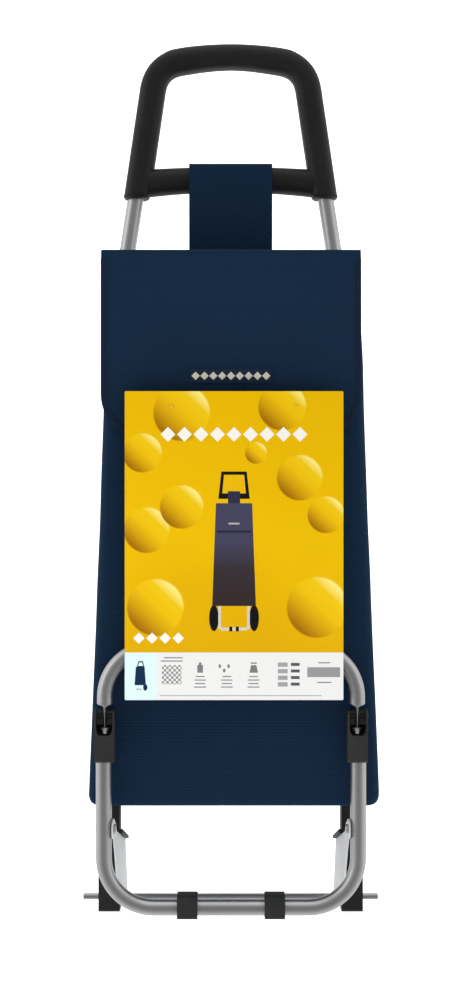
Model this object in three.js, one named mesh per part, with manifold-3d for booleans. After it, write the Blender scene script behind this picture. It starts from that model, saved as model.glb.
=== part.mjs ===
// Folding shopping trolley: two rear tubes with a D handle, a fabric bag hung between them, an axle
// for push-on wheels, and a folding base of link panels, a U-shaped foot and a shelf arch.
// Millimetres. X is the width, +Z is up and the front faces -Y. "Ahead" is the distance in front of
// the rear tubes. The origin is on the ground, under the middle of the whole trolley.
import * as THREE from "three";
import { mergeVertices } from "three/addons/utils/BufferGeometryUtils.js";
import Module from "manifold-3d";

const wasm = await Module();
wasm.setup();

// Driving dimensions
const GAP = 0.3;                      // clearance between pieces that touch
const TUBE_WALL = 1.2;
const RIVET_SHANK = 2.4;
const RIVET_HOLE = RIVET_SHANK + GAP;

const REAR_TUBE_RADIUS = 9;
const REAR_TUBE_X = 135.2;
const REAR_TUBE_BOTTOM = 24;
const REAR_TUBE_TOP = 838;
const REAR_BEND_Z = 626.5;            // above this the rear tubes lean inwards
const REAR_LEAN = 0.157;              // inward run for each millimetre of rise

const HANDLE_HALF_DEPTH = 15.2;
const HANDLE_FOOT_Z = 803;
const HANDLE_FOOT_X = 121.3;
const HANDLE_TOP_Z = 978.5;
const CROSSBAR_BOTTOM = 806.5;        // at the sockets; the bar rises towards its middle
const CROSSBAR_TOP = 837.5;
const CROSSBAR_ARCH = 2.5;

const AXLE_RADIUS = 3.5;
const AXLE_HALF_LENGTH = 167;
const AXLE_Z = 14;
const BRACKET_INNER_X = 124.8;
const BRACKET_OUTER_X = 148.6;
const BRACKET_HALF_DEPTH = 15;
const BRACKET_NECK = 11.4;            // half depth of the bracket where it passes behind the bag
const BRACKET_HEIGHT = 190;
const BRACKET_RIVET_Z = 150;

const FOOT_AHEAD = 200;
const FOOT_TUBE_RADIUS = 8;
const FOOT_TUBE_X = 127.2;
const FOOT_CROSS_Z = 55.7;
const FOOT_TUBE_TOP = 221;
const BEND_RADIUS = 50;
const LINK_PIVOT_Z = 134.3;
const CLIP_X = 43.6;
const CLIP_WIDTH = 20.3;

const COLLAR_X = 126;
const COLLAR_HALF_WIDTH = 10.1;
const COLLAR_HALF_DEPTH = 12;
const COLLAR_BOTTOM = 202;
const COLLAR_TOP = 254;
const FORK_FLOOR = 228.6;
const FORK_ARM = 1.9;
const FORK_BACK = 2.4;                // thickness of the low wall behind the recess
const FORK_BACK_TOP = 237.5;          // the folded shelf's tube passes above it
const CHEEK_RADIUS = 8.5;             // the shelf tube's end turns outside this
const SHELF_PIVOT_Z = 247;
const SHELF_CROSS_Z = 316;
const SHELF_TUBE_END = 256;
const TONGUE_THICKNESS = 3;

const LINK_PANEL_X = 117.2;           // inner face of the link panel
const LINK_SHEET = 1.6;

const BAG_BACK = 12;
const BAG_FRONT = 184;
const BAG_BOTTOM = 153;
const BAG_TOP = 713.7;
const BAG_WALL = 2.5;
const BAG_EDGE_ROUND = 6;
const BAG_BOTTOM_CORNER = 10;
const BAG_SIDE = [[166, 147.6], [191, 146.6], [443, 136.3], [558, 132.2], [735, 128.6]];
const FOLD_IN_HALF_WIDTH = 137;       // the stretch of bag that the shelf pushes in as it folds
const FOLD_IN_BACK = 145;
const FOLD_IN_TOP = 322;

const FLAP_THICKNESS = 2;
const FLAP_HALF_WIDTH = 130.5;
const FLAP_BOTTOM = 525;
const FLAP_CORNER = 45;
const FLAP_INNER = 186.9;             // how far ahead the hanging flap's inner face is
const CLOSURE_Z = 548;

const STRAP_HALF_WIDTH = 46.7;
const STRAP_THICKNESS = 1.6;
const STRAP_TAIL_BOTTOM = 640;

const CARD_X = 3;
const CARD_WIDTH = 217;
const CARD_BOTTOM = 264.5;
const CARD_TOP = 571;
const CARD_AHEAD = 211;
const CARD_THICKNESS = 0.8;
const PIN_HEAD = 1.4;

const STRAP_BACK = HANDLE_HALF_DEPTH + 0.6 + STRAP_THICKNESS;
const FRONT_MOST = CARD_AHEAD + CARD_THICKNESS + GAP + PIN_HEAD;
const MID_DEPTH = (FRONT_MOST - STRAP_BACK) / 2;
const yAt = ahead => MID_DEPTH - ahead;

// Materials
const finish = (color, roughness, metalness) =>
  new THREE.MeshStandardMaterial({ color, roughness, metalness });
const SILVER = finish(0x9a9a9a, 0.38, 0.9);
const STEEL = finish(0xb4b4b2, 0.35, 0.9);
const GREY_SHEET = finish(0xc8ccd0, 0.5, 0.6);
const BLACK_PLASTIC = finish(0x1d1e20, 0.5, 0);
const GREY_PLASTIC = finish(0x2a2b2d, 0.55, 0);
const RUBBER = finish(0x242526, 0.8, 0);
const NAVY_FABRIC = finish(0x14263f, 0.9, 0);
const BOARD = finish(0x8a7a62, 0.85, 0);
const LABEL = finish(0xe6dfcf, 0.8, 0);
const CARD = finish(0xf2b80c, 0.6, 0);
const CLEAR_PLASTIC = finish(0xe8e8e8, 0.4, 0);

const trolley = new THREE.Group();

function add(name, geometry, material) {
  const mesh = new THREE.Mesh(geometry, material);
  mesh.name = name;
  trolley.add(mesh);
}

// Calls make(side, name) for the left (side -1) and right (side +1) piece of a pair.
function pair(make) {
  for (const [side, name] of [[-1, "left"], [1, "right"]]) make(side, name);
}

// Boolean cuts and joins
function toSolid(geometry) {
  const bare = geometry.clone();
  bare.deleteAttribute("normal");
  bare.deleteAttribute("uv");
  const merged = mergeVertices(bare, 1e-4);
  const corners = [];
  for (let i = 0; i < merged.index.count; i += 3) {
    const [a, b, c] = merged.index.array.slice(i, i + 3);
    if (a !== b && b !== c && c !== a) corners.push(a, b, c);
  }
  return new wasm.Manifold(new wasm.Mesh({
    numProp: 3,
    vertProperties: Float32Array.from(merged.attributes.position.array),
    triVerts: Uint32Array.from(corners),
  }));
}

function toGeometry(manifold) {
  const mesh = manifold.getMesh();
  const geometry = new THREE.BufferGeometry();
  geometry.setAttribute("position", new THREE.BufferAttribute(mesh.vertProperties, 3));
  geometry.setIndex(new THREE.BufferAttribute(mesh.triVerts, 1));
  geometry.computeVertexNormals();
  return geometry;
}

const cut = (body, ...tools) =>
  toGeometry(tools.reduce((left, tool) => left.subtract(toSolid(tool)), toSolid(body)));
const join = (first, ...others) =>
  toGeometry(others.reduce((all, other) => all.add(toSolid(other)), toSolid(first)));
const common = (first, second) => toGeometry(toSolid(first).intersect(toSolid(second)));

// Simple shapes placed in the trolley's frame
function block(xRange, aheadRange, zRange) {
  const [x0, x1] = xRange;
  const [a0, a1] = aheadRange;
  const [z0, z1] = zRange;
  return new THREE.BoxGeometry(x1 - x0, a1 - a0, z1 - z0)
    .translate((x0 + x1) / 2, yAt((a0 + a1) / 2), (z0 + z1) / 2);
}

function rodAcross(radius, x0, x1, ahead, z, sides = 16) {
  return new THREE.CylinderGeometry(radius, radius, Math.abs(x1 - x0), sides)
    .rotateZ(Math.PI / 2)
    .translate((x0 + x1) / 2, yAt(ahead), z);
}

function rodForward(radius, x, a0, a1, z, sides = 12) {
  return new THREE.CylinderGeometry(radius, radius, Math.abs(a1 - a0), sides)
    .translate(x, yAt((a0 + a1) / 2), z);
}

function uprightRod(radius, x, ahead, z0, z1, sides = 20) {
  return new THREE.CylinderGeometry(radius, radius, z1 - z0, sides)
    .rotateX(Math.PI / 2)
    .translate(x, yAt(ahead), (z0 + z1) / 2);
}

function basis(xAxis, yAxis, zAxis) {
  return new THREE.Matrix4().makeBasis(
    new THREE.Vector3(...xAxis), new THREE.Vector3(...yAxis), new THREE.Vector3(...zAxis));
}

// A side-view outline, drawn in (ahead, z), made as thick as x0 to x1.
function sidePlate(shape, x0, x1) {
  return new THREE.ExtrudeGeometry(shape, { depth: x1 - x0, bevelEnabled: false, curveSegments: 6 })
    .applyMatrix4(basis([0, -1, 0], [0, 0, 1], [-1, 0, 0]))
    .translate(x1, yAt(0), 0);
}

// A front-view outline, drawn in (x, z), reaching from one distance ahead to another.
function frontPlate(shape, a0, a1, options = {}) {
  const settings = { bevelEnabled: false, curveSegments: 6, ...options };
  const bevel = settings.bevelEnabled ? settings.bevelThickness : 0;
  return new THREE.ExtrudeGeometry(shape, { depth: a1 - a0 - 2 * bevel, ...settings })
    .applyMatrix4(basis([1, 0, 0], [0, 0, 1], [0, -1, 0]))
    .translate(0, yAt(a0 + bevel), 0);
}

// A turned piece with its axis across the trolley: rows are (distance along, radius).
function turnedAcross(rows, xStart, direction, ahead, z, sides = 12) {
  const profile = rows.map(([along, radius]) => new THREE.Vector2(radius, along));
  return new THREE.LatheGeometry(profile, sides)
    .rotateZ(-direction * Math.PI / 2)
    .translate(xStart, yAt(ahead), z);
}

// A turned piece with its axis pointing forward from aStart.
function turnedForward(rows, x, aStart, z, sides = 12) {
  const profile = rows.map(([along, radius]) => new THREE.Vector2(radius, along));
  return new THREE.LatheGeometry(profile, sides)
    .rotateX(Math.PI)
    .translate(x, yAt(aStart), z);
}

// Tubes: stations give each ring's centre and direction, so that straights take one step.
class StationPath extends THREE.Curve {
  constructor(stations) {
    super();
    this.stations = stations;
  }
  at(u) {
    return this.stations[Math.round(u * (this.stations.length - 1))];
  }
  getPointAt(u) {
    return this.at(u).point.clone();
  }
  getTangentAt(u) {
    return this.at(u).tangent.clone();
  }
}

function bentRoute(corners, radius, stepsPerBend) {
  const heading = i => corners[i + 1].clone().sub(corners[i]).normalize();
  const stations = [{ point: corners[0].clone(), tangent: heading(0) }];
  for (let i = 1; i < corners.length - 1; i += 1) {
    const before = heading(i - 1);
    const after = heading(i);
    const turn = before.angleTo(after);
    const inward = after.clone().addScaledVector(before, -after.dot(before)).normalize();
    const start = corners[i].clone().addScaledVector(before, -radius * Math.tan(turn / 2));
    for (let step = 0; step <= stepsPerBend; step += 1) {
      const angle = turn * step / stepsPerBend;
      stations.push({
        point: start.clone()
          .addScaledVector(before, radius * Math.sin(angle))
          .addScaledVector(inward, radius * (1 - Math.cos(angle))),
        tangent: before.clone().multiplyScalar(Math.cos(angle))
          .addScaledVector(inward, Math.sin(angle)),
      });
    }
  }
  const last = corners.length - 1;
  stations.push({ point: corners[last].clone(), tangent: heading(last - 1) });
  return stations;
}

function roundPoints(radius, sides) {
  return Array.from({ length: sides }, (_, i) => {
    const angle = 2 * Math.PI * (i + 0.5) / sides;
    return new THREE.Vector2(radius * Math.cos(angle), radius * Math.sin(angle));
  });
}

function tube(stations, outer, inner, sides = 16) {
  const section = new THREE.Shape(roundPoints(outer, sides));
  if (inner > 0) section.holes.push(new THREE.Path(roundPoints(inner, sides)));
  return new THREE.ExtrudeGeometry(section, {
    steps: stations.length - 1,
    extrudePath: new StationPath(stations),
  });
}

const spot = (x, ahead, z) => new THREE.Vector3(x, yAt(ahead), z);
const radians = THREE.MathUtils.degToRad;

// Rear tubes: upright past the bag, then leaning in to meet the handle.
const rearTubeX = z => REAR_TUBE_X - REAR_LEAN * Math.max(0, z - REAR_BEND_Z);

function rearRoute(side, bottom, top) {
  const corners = [
    spot(side * REAR_TUBE_X, 0, bottom),
    spot(side * REAR_TUBE_X, 0, REAR_BEND_Z),
    spot(side * rearTubeX(top), 0, top),
  ];
  return bentRoute(corners, 180, 3);
}

const SOCKET_SCREW_Z = 822;
const BAR_SCREW_X = 50;
const BAR_SCREW_Z = 961;
const SCREW_SHANK = 2;
const SCREW_HEAD = 3.6;

pair((side, name) => {
  const body = tube(rearRoute(side, REAR_TUBE_BOTTOM, REAR_TUBE_TOP),
    REAR_TUBE_RADIUS, REAR_TUBE_RADIUS - TUBE_WALL);
  const rivetHole = rodAcross(RIVET_HOLE, side * 120, side * 155, 0, BRACKET_RIVET_Z, 12);
  const screwHole = rodForward(SCREW_SHANK + GAP, side * rearTubeX(SOCKET_SCREW_Z), -12, -4,
    SOCKET_SCREW_Z);
  add(`rear_tube_${name}`, cut(body, rivetHole, screwHole), SILVER);
});

// Handle: a D loop moulded as a front and a back shell, with sockets for the rear tubes.
function handleOutline() {
  const footInner = HANDLE_FOOT_X - 30;
  const [shoulderX, shoulderZ] = [103.3, 925];
  const [bowX, bowZ] = [68, HANDLE_TOP_Z - 6.5];
  const bar = CROSSBAR_BOTTOM;
  const outline = new THREE.Shape();
  outline.moveTo(-HANDLE_FOOT_X, HANDLE_FOOT_Z);
  outline.lineTo(-footInner, HANDLE_FOOT_Z);
  outline.lineTo(-footInner + 3, bar);
  outline.quadraticCurveTo(0, bar + 4 * CROSSBAR_ARCH, footInner - 3, bar);
  outline.lineTo(footInner, HANDLE_FOOT_Z);
  outline.lineTo(HANDLE_FOOT_X, HANDLE_FOOT_Z);
  outline.lineTo(shoulderX, shoulderZ);
  outline.bezierCurveTo(100.5, 946, 92, 963.5, bowX, bowZ);
  outline.quadraticCurveTo(42, HANDLE_TOP_Z, 0, HANDLE_TOP_Z);
  outline.quadraticCurveTo(-42, HANDLE_TOP_Z, -bowX, bowZ);
  outline.bezierCurveTo(-92, 963.5, -100.5, 946, -shoulderX, shoulderZ);
  outline.closePath();

  const opening = new THREE.Path();
  opening.moveTo(-82.5, CROSSBAR_TOP);
  opening.lineTo(-84.6, CROSSBAR_TOP + 2.5);
  opening.lineTo(-73.5, 924);
  opening.bezierCurveTo(-71.5, 937, -66, 942.5, -54, 944.5);
  opening.quadraticCurveTo(0, 953, 54, 944.5);
  opening.bezierCurveTo(66, 942.5, 71.5, 937, 73.5, 924);
  opening.lineTo(84.6, CROSSBAR_TOP + 2.5);
  opening.lineTo(82.5, CROSSBAR_TOP);
  opening.quadraticCurveTo(0, CROSSBAR_TOP + 2 * CROSSBAR_ARCH, -82.5, CROSSBAR_TOP);
  outline.holes.push(opening);
  return outline;
}

function handleShell(front) {
  const round = 5;
  const whole = frontPlate(handleOutline(), -HANDLE_HALF_DEPTH, HANDLE_HALF_DEPTH, {
    bevelEnabled: true, bevelThickness: round, bevelSize: round, bevelOffset: -round,
    bevelSegments: 3, curveSegments: 5,
  });
  const depths = front ? [GAP / 2, 40] : [-40, -GAP / 2];
  const half = common(whole, block([-200, 200], depths, [780, 1000]));
  const tools = [];
  for (const side of [-1, 1]) {
    tools.push(tube(rearRoute(side, 500, REAR_TUBE_TOP + GAP), REAR_TUBE_RADIUS + GAP, 0));
    const barDepth = front ? 9 : 0;
    tools.push(rodForward(SCREW_SHANK + GAP, side * BAR_SCREW_X, -30, barDepth, BAR_SCREW_Z));
    if (front) continue;
    const socketX = side * rearTubeX(SOCKET_SCREW_Z);
    tools.push(rodForward(SCREW_SHANK + GAP, socketX, -30, 0, SOCKET_SCREW_Z));
    tools.push(rodForward(SCREW_HEAD + GAP, socketX, -30, -11.7, SOCKET_SCREW_Z));
    tools.push(rodForward(SCREW_HEAD + GAP, side * BAR_SCREW_X, -30, -11.7, BAR_SCREW_Z));
  }
  return cut(half, ...tools);
}

add("handle_front_shell", handleShell(true), BLACK_PLASTIC);
add("handle_back_shell", handleShell(false), BLACK_PLASTIC);

function handleScrew(x, z, length) {
  const headTop = -14.4;
  const headDepth = 2.4;
  const rows = [[0, 0], [0, SCREW_HEAD - 0.6], [0.8, SCREW_HEAD], [headDepth, SCREW_HEAD],
    [headDepth, SCREW_SHANK], [length, SCREW_SHANK], [length, 0]];
  return turnedForward(rows, x, headTop, z);
}

pair((side, name) => {
  const socketX = side * rearTubeX(SOCKET_SCREW_Z);
  add(`handle_socket_screw_${name}`, handleScrew(socketX, SOCKET_SCREW_Z, 9), STEEL);
  add(`handle_bar_screw_${name}`, handleScrew(side * BAR_SCREW_X, BAR_SCREW_Z, 22), STEEL);
});

// Axle brackets: plastic feet on the rear tubes that carry the axle.
function bracketOutline() {
  const outline = new THREE.Shape();
  const d = BRACKET_HALF_DEPTH;
  outline.moveTo(-d + 4, 0);
  outline.lineTo(d - 4, 0);
  outline.quadraticCurveTo(d, 0, d, 4);
  outline.lineTo(d, 60);
  outline.quadraticCurveTo(d, 100, BRACKET_NECK, 140);
  outline.lineTo(BRACKET_NECK, BRACKET_HEIGHT);
  outline.lineTo(-BRACKET_NECK, BRACKET_HEIGHT);
  outline.lineTo(-BRACKET_NECK, 140);
  outline.quadraticCurveTo(-d, 100, -d, 60);
  outline.lineTo(-d, 4);
  outline.quadraticCurveTo(-d, 0, -d + 4, 0);
  return outline;
}

pair((side, name) => {
  const xs = [side * BRACKET_INNER_X, side * BRACKET_OUTER_X].sort((p, q) => p - q);
  const socket = uprightRod(REAR_TUBE_RADIUS + GAP, side * REAR_TUBE_X, 0,
    REAR_TUBE_BOTTOM - GAP, BRACKET_HEIGHT + 10);
  const axleHole = rodAcross(AXLE_RADIUS + GAP, side * 110, side * 160, 0, AXLE_Z);
  const rivetHole = rodAcross(RIVET_HOLE, side * 110, side * 160, 0, BRACKET_RIVET_Z, 12);
  add(`axle_bracket_${name}`,
    cut(sidePlate(bracketOutline(), ...xs), socket, axleHole, rivetHole), BLACK_PLASTIC);
});

// A rivet with a head at each end, from |x| = inner to |x| = outer.
function rivet(side, inner, outer, ahead, z, head, headHeight) {
  const length = outer - inner;
  const rows = [[0, 0], [0, head - 0.8], [headHeight * 0.7, head], [headHeight, head],
    [headHeight, RIVET_SHANK], [length - headHeight, RIVET_SHANK], [length - headHeight, head],
    [length - headHeight * 0.7, head], [length, head - 0.8], [length, 0]];
  return turnedAcross(rows, side * inner, side, ahead, z);
}

pair((side, name) => {
  const headHeight = 1.5;
  const reach = GAP + headHeight;
  add(`bracket_rivet_${name}`, rivet(side, BRACKET_INNER_X - reach, BRACKET_OUTER_X + reach,
    0, BRACKET_RIVET_Z, 4.5, headHeight), STEEL);
});

// Axle with its bare ends, the spacers on it and the clips that keep the link panels in place.
const AXLE_END_ROUND = 1;
const axleRows = [[0, 0], [0, AXLE_RADIUS - AXLE_END_ROUND], [AXLE_END_ROUND, AXLE_RADIUS],
  [2 * AXLE_HALF_LENGTH - AXLE_END_ROUND, AXLE_RADIUS],
  [2 * AXLE_HALF_LENGTH, AXLE_RADIUS - AXLE_END_ROUND], [2 * AXLE_HALF_LENGTH, 0]];
add("axle", turnedAcross(axleRows, -AXLE_HALF_LENGTH, 1, 0, AXLE_Z, 20), STEEL);

function washer(side, inner, outer, radius) {
  const bore = rodAcross(AXLE_RADIUS + GAP, side * (inner - 5), side * (outer + 5), 0, AXLE_Z);
  return cut(rodAcross(radius, side * inner, side * outer, 0, AXLE_Z), bore);
}

pair((side, name) => {
  const panelOuter = LINK_PANEL_X + LINK_SHEET;
  add(`axle_spacer_${name}`, washer(side, panelOuter + GAP, BRACKET_INNER_X - GAP, 7),
    BLACK_PLASTIC);
  add(`axle_clip_${name}`, washer(side, LINK_PANEL_X - GAP - 1.2, LINK_PANEL_X - GAP, 6.5), STEEL);
});

// Link panels: pressed sheets that swing about the axle and carry the foot.
// The front edge is cut back, so that the foot's bends pass it as the base folds.
const LINK_TOP_REAR = [26, 85];
const LINK_TOP_FRONT = [120, 111.7];

function linkOutline() {
  const outline = new THREE.Shape();
  outline.absarc(0, AXLE_Z, 11, radians(160), radians(285), false);
  outline.lineTo(118, 38);
  outline.quadraticCurveTo(140, 62, 159, 85.5);
  outline.lineTo(175, 104.5);
  outline.absarc(FOOT_AHEAD, LINK_PIVOT_Z, 10, radians(-110), radians(115), false);
  outline.lineTo(172, 134);
  outline.lineTo(158, 122.5);
  outline.lineTo(...LINK_TOP_FRONT);
  outline.lineTo(...LINK_TOP_REAR);
  outline.closePath();
  return outline;
}

// The plastic strip over the rear stretch of the panel's top edge.
function linkStripOutline() {
  const [rear, front] = [LINK_TOP_REAR, LINK_TOP_FRONT];
  const outline = new THREE.Shape();
  const [clear, height] = [GAP, 4.6];
  outline.moveTo(rear[0], rear[1] + clear);
  outline.lineTo(front[0], front[1] + clear);
  outline.lineTo(front[0] - 1, front[1] + height);
  outline.lineTo(rear[0] + 2, rear[1] + height);
  outline.quadraticCurveTo(rear[0] - 2, rear[1] + height, rear[0] - 2, rear[1] + clear);
  outline.closePath();
  return outline;
}

const PIVOT_SHANK = 3.2;

// The foot's pivot: a headed pin whose far end lies flush in the leg.
function pivotRows(length) {
  const [head, headHeight] = [4.8, 2];
  return [[0, 0], [0, head - 0.8], [headHeight * 0.7, head], [headHeight, head],
    [headHeight, PIVOT_SHANK], [length - 0.6, PIVOT_SHANK], [length, PIVOT_SHANK - 0.6], [length, 0]];
}

pair((side, name) => {
  const ordered = (...xs) => xs.map(x => side * x).sort((p, q) => p - q);
  const sheet = sidePlate(linkOutline(), ...ordered(LINK_PANEL_X, LINK_PANEL_X + LINK_SHEET));
  const axleHole = rodAcross(AXLE_RADIUS + GAP, side * 100, side * 130, 0, AXLE_Z);
  const pivotHole = rodAcross(PIVOT_SHANK + GAP, side * 100, side * 130, FOOT_AHEAD, LINK_PIVOT_Z);
  add(`link_panel_${name}`, cut(sheet, axleHole, pivotHole), GREY_SHEET);
  add(`link_strip_${name}`, sidePlate(linkStripOutline(),
    ...ordered(LINK_PANEL_X - 3.4, LINK_PANEL_X + LINK_SHEET + 0.6)), BLACK_PLASTIC);
  const pinStart = LINK_PANEL_X - GAP - 2;
  const pinEnd = FOOT_TUBE_X + FOOT_TUBE_RADIUS;
  add(`foot_pivot_${name}`,
    turnedAcross(pivotRows(pinEnd - pinStart), side * pinStart, side, FOOT_AHEAD, LINK_PIVOT_Z),
    STEEL);
});

// Foot: a bent tube, open upwards, with rubber clips under it and a collar on each leg.
const footCorners = [
  spot(-FOOT_TUBE_X, FOOT_AHEAD, FOOT_TUBE_TOP),
  spot(-FOOT_TUBE_X, FOOT_AHEAD, FOOT_CROSS_Z),
  spot(FOOT_TUBE_X, FOOT_AHEAD, FOOT_CROSS_Z),
  spot(FOOT_TUBE_X, FOOT_AHEAD, FOOT_TUBE_TOP),
];
const footPivotHole = rodAcross(PIVOT_SHANK + GAP, -160, 160, FOOT_AHEAD, LINK_PIVOT_Z);
add("foot_tube", cut(tube(bentRoute(footCorners, BEND_RADIUS, 7), FOOT_TUBE_RADIUS,
  FOOT_TUBE_RADIUS - TUBE_WALL), footPivotHole), SILVER);

function clipOutline() {
  const outline = new THREE.Shape();
  const [low, high, half, round] = [46.3, 69.7, 11.5, 5];
  outline.moveTo(FOOT_AHEAD - half + 2, low);
  outline.lineTo(FOOT_AHEAD + half - 2, low);
  outline.lineTo(FOOT_AHEAD + half, low + 2);
  outline.lineTo(FOOT_AHEAD + half, high - round);
  outline.quadraticCurveTo(FOOT_AHEAD + half, high, FOOT_AHEAD + half - round, high);
  outline.lineTo(FOOT_AHEAD - half + round, high);
  outline.quadraticCurveTo(FOOT_AHEAD - half, high, FOOT_AHEAD - half, high - round);
  outline.lineTo(FOOT_AHEAD - half, low + 2);
  outline.closePath();
  const bore = new THREE.Path();
  bore.absarc(FOOT_AHEAD, FOOT_CROSS_Z, FOOT_TUBE_RADIUS + GAP, 0, 2 * Math.PI, true);
  outline.holes.push(bore);
  return outline;
}

pair((side, name) => {
  const middle = side * CLIP_X;
  add(`foot_clip_${name}`,
    sidePlate(clipOutline(), middle - CLIP_WIDTH / 2, middle + CLIP_WIDTH / 2), RUBBER);
});

function collarOutline() {
  const outline = new THREE.Shape();
  const [rear, front] = [FOOT_AHEAD - COLLAR_HALF_DEPTH, FOOT_AHEAD + COLLAR_HALF_DEPTH];
  outline.moveTo(rear + 2, COLLAR_BOTTOM);
  outline.lineTo(front - 2, COLLAR_BOTTOM);
  outline.lineTo(front, COLLAR_BOTTOM + 2);
  outline.lineTo(front, FORK_FLOOR + 8);
  outline.quadraticCurveTo(front, COLLAR_TOP, FOOT_AHEAD + 2, COLLAR_TOP);
  outline.lineTo(FOOT_AHEAD - 2, COLLAR_TOP);
  outline.quadraticCurveTo(rear, COLLAR_TOP, rear, FORK_FLOOR + 8);
  outline.lineTo(rear, COLLAR_BOTTOM + 2);
  outline.closePath();
  return outline;
}

// The recess between the fork's arms, seen from the front: a U with a round floor.
function forkOutline(middle) {
  const half = COLLAR_HALF_WIDTH - FORK_ARM;
  const outline = new THREE.Shape();
  outline.moveTo(middle + half, COLLAR_TOP + 10);
  outline.lineTo(middle - half, COLLAR_TOP + 10);
  outline.lineTo(middle - half, FORK_FLOOR + 9);
  outline.quadraticCurveTo(middle - half, FORK_FLOOR, middle - 3.4, FORK_FLOOR);
  outline.lineTo(middle + 3.4, FORK_FLOOR);
  outline.quadraticCurveTo(middle + half, FORK_FLOOR, middle + half, FORK_FLOOR + 9);
  outline.closePath();
  return outline;
}

pair((side, name) => {
  const middle = side * COLLAR_X;
  const half = COLLAR_HALF_WIDTH;
  const body = sidePlate(collarOutline(), middle - half, middle + half);
  const [rear, front] = [FOOT_AHEAD - COLLAR_HALF_DEPTH, FOOT_AHEAD + COLLAR_HALF_DEPTH];
  const recess = frontPlate(forkOutline(middle), rear + FORK_BACK, front + 5);
  const rearGap = block([middle - half + FORK_ARM, middle + half - FORK_ARM],
    [rear - 5, rear + FORK_BACK + 1], [FORK_BACK_TOP, COLLAR_TOP + 10]);
  const legBore = uprightRod(FOOT_TUBE_RADIUS + GAP, side * FOOT_TUBE_X, FOOT_AHEAD,
    COLLAR_BOTTOM - 10, FOOT_TUBE_TOP + GAP);
  const pivotHole = rodAcross(RIVET_HOLE, middle - 20, middle + 20, FOOT_AHEAD, SHELF_PIVOT_Z, 12);
  // Cheeks fill the recess beside the shelf's tongue, behind the pivot.
  const cheeks = common(
    rodAcross(CHEEK_RADIUS, middle - half + 1, middle + half - 1, FOOT_AHEAD, SHELF_PIVOT_Z, 24),
    block([-200, 200], [rear, FOOT_AHEAD + 1], [COLLAR_BOTTOM, COLLAR_TOP - 1]));
  const tongueHalf = TONGUE_THICKNESS / 2 + 0.5;
  const tongueSlot = block([middle - tongueHalf, middle + tongueHalf], [rear - 5, front + 5],
    [FORK_BACK_TOP, COLLAR_TOP + 10]);
  const fork = join(cut(body, recess, rearGap), cheeks);
  add(`collar_${name}`, cut(fork, tongueSlot, legBore, pivotHole), GREY_PLASTIC);
  const headHeight = 0.8;
  const reach = half + GAP + headHeight;
  add(`shelf_pivot_${name}`, rivet(side, COLLAR_X - reach, COLLAR_X + reach, FOOT_AHEAD,
    SHELF_PIVOT_Z, 3.2, headHeight), BLACK_PLASTIC);
});

// Shelf arch: a bent tube with flattened ends that turn in the collars' forks.
const shelfCorners = [
  spot(-COLLAR_X, FOOT_AHEAD, SHELF_TUBE_END),
  spot(-COLLAR_X, FOOT_AHEAD, SHELF_CROSS_Z),
  spot(COLLAR_X, FOOT_AHEAD, SHELF_CROSS_Z),
  spot(COLLAR_X, FOOT_AHEAD, SHELF_TUBE_END),
];

const TOE_BOTTOM = FORK_FLOOR + 1;
const TOE_TOP = 235.3;

function tongue(side) {
  const blade = new THREE.Shape();
  blade.moveTo(FOOT_AHEAD - 5.5, TOE_TOP - 1);
  blade.lineTo(FOOT_AHEAD + 5.5, TOE_TOP - 1);
  blade.lineTo(FOOT_AHEAD + 6.5, SHELF_TUBE_END + 3);
  blade.lineTo(FOOT_AHEAD - 6.5, SHELF_TUBE_END + 3);
  blade.closePath();
  const middle = side * COLLAR_X;
  const flat = sidePlate(blade, middle - TONGUE_THICKNESS / 2, middle + TONGUE_THICKNESS / 2);
  const toeCorners = [[-3.2, TOE_BOTTOM], [3.2, TOE_BOTTOM], [5.2, TOE_TOP], [-5.2, TOE_TOP]];
  const toe = new THREE.Shape(toeCorners.map(([x, z]) => new THREE.Vector2(middle + x, z)));
  const pivotHole = rodAcross(RIVET_HOLE, middle - 20, middle + 20, FOOT_AHEAD, SHELF_PIVOT_Z, 12);
  const toeHalfDepth = 4;
  return cut(join(flat, frontPlate(toe, FOOT_AHEAD - toeHalfDepth, FOOT_AHEAD + toeHalfDepth)),
    pivotHole);
}

const shelfTube = tube(bentRoute(shelfCorners, BEND_RADIUS, 7), FOOT_TUBE_RADIUS, 0);
add("shelf_arch", join(shelfTube, tongue(-1), tongue(1)), SILVER);

// Bag: an open fabric shell, wider at the bottom, with a loose stretch low on its front.
function bagOutline(inset) {
  const bottom = BAG_BOTTOM + inset;
  const corner = BAG_BOTTOM_CORNER - inset;
  const half = BAG_SIDE[0][1] - inset;
  const outline = new THREE.Shape();
  outline.absarc(corner - half, bottom + corner, corner, Math.PI, 1.5 * Math.PI, false);
  outline.absarc(half - corner, bottom + corner, corner, 1.5 * Math.PI, 2 * Math.PI, false);
  for (const [z, x] of BAG_SIDE) outline.lineTo(x - inset, z);
  for (const [z, x] of [...BAG_SIDE].reverse()) outline.lineTo(inset - x, z);
  outline.closePath();
  return outline;
}

function bagForm(inset) {
  const round = BAG_EDGE_ROUND - inset;
  return frontPlate(bagOutline(inset), BAG_BACK + inset, BAG_FRONT - inset, {
    bevelEnabled: true, bevelThickness: round, bevelSize: round, bevelOffset: -round,
    bevelSegments: 3, curveSegments: 3,
  });
}

const bagShell = cut(bagForm(0), bagForm(BAG_WALL),
  block([-200, 200], [-50, 300], [BAG_TOP, 900]));
const foldIn = inset => block([inset - FOLD_IN_HALF_WIDTH, FOLD_IN_HALF_WIDTH - inset],
  [FOLD_IN_BACK + inset, 220], [100, FOLD_IN_TOP - inset]);
add("bag_body", cut(bagShell, foldIn(0)), NAVY_FABRIC);
add("bag_fold_in_panel", common(bagShell, foldIn(GAP)), NAVY_FABRIC);

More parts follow.
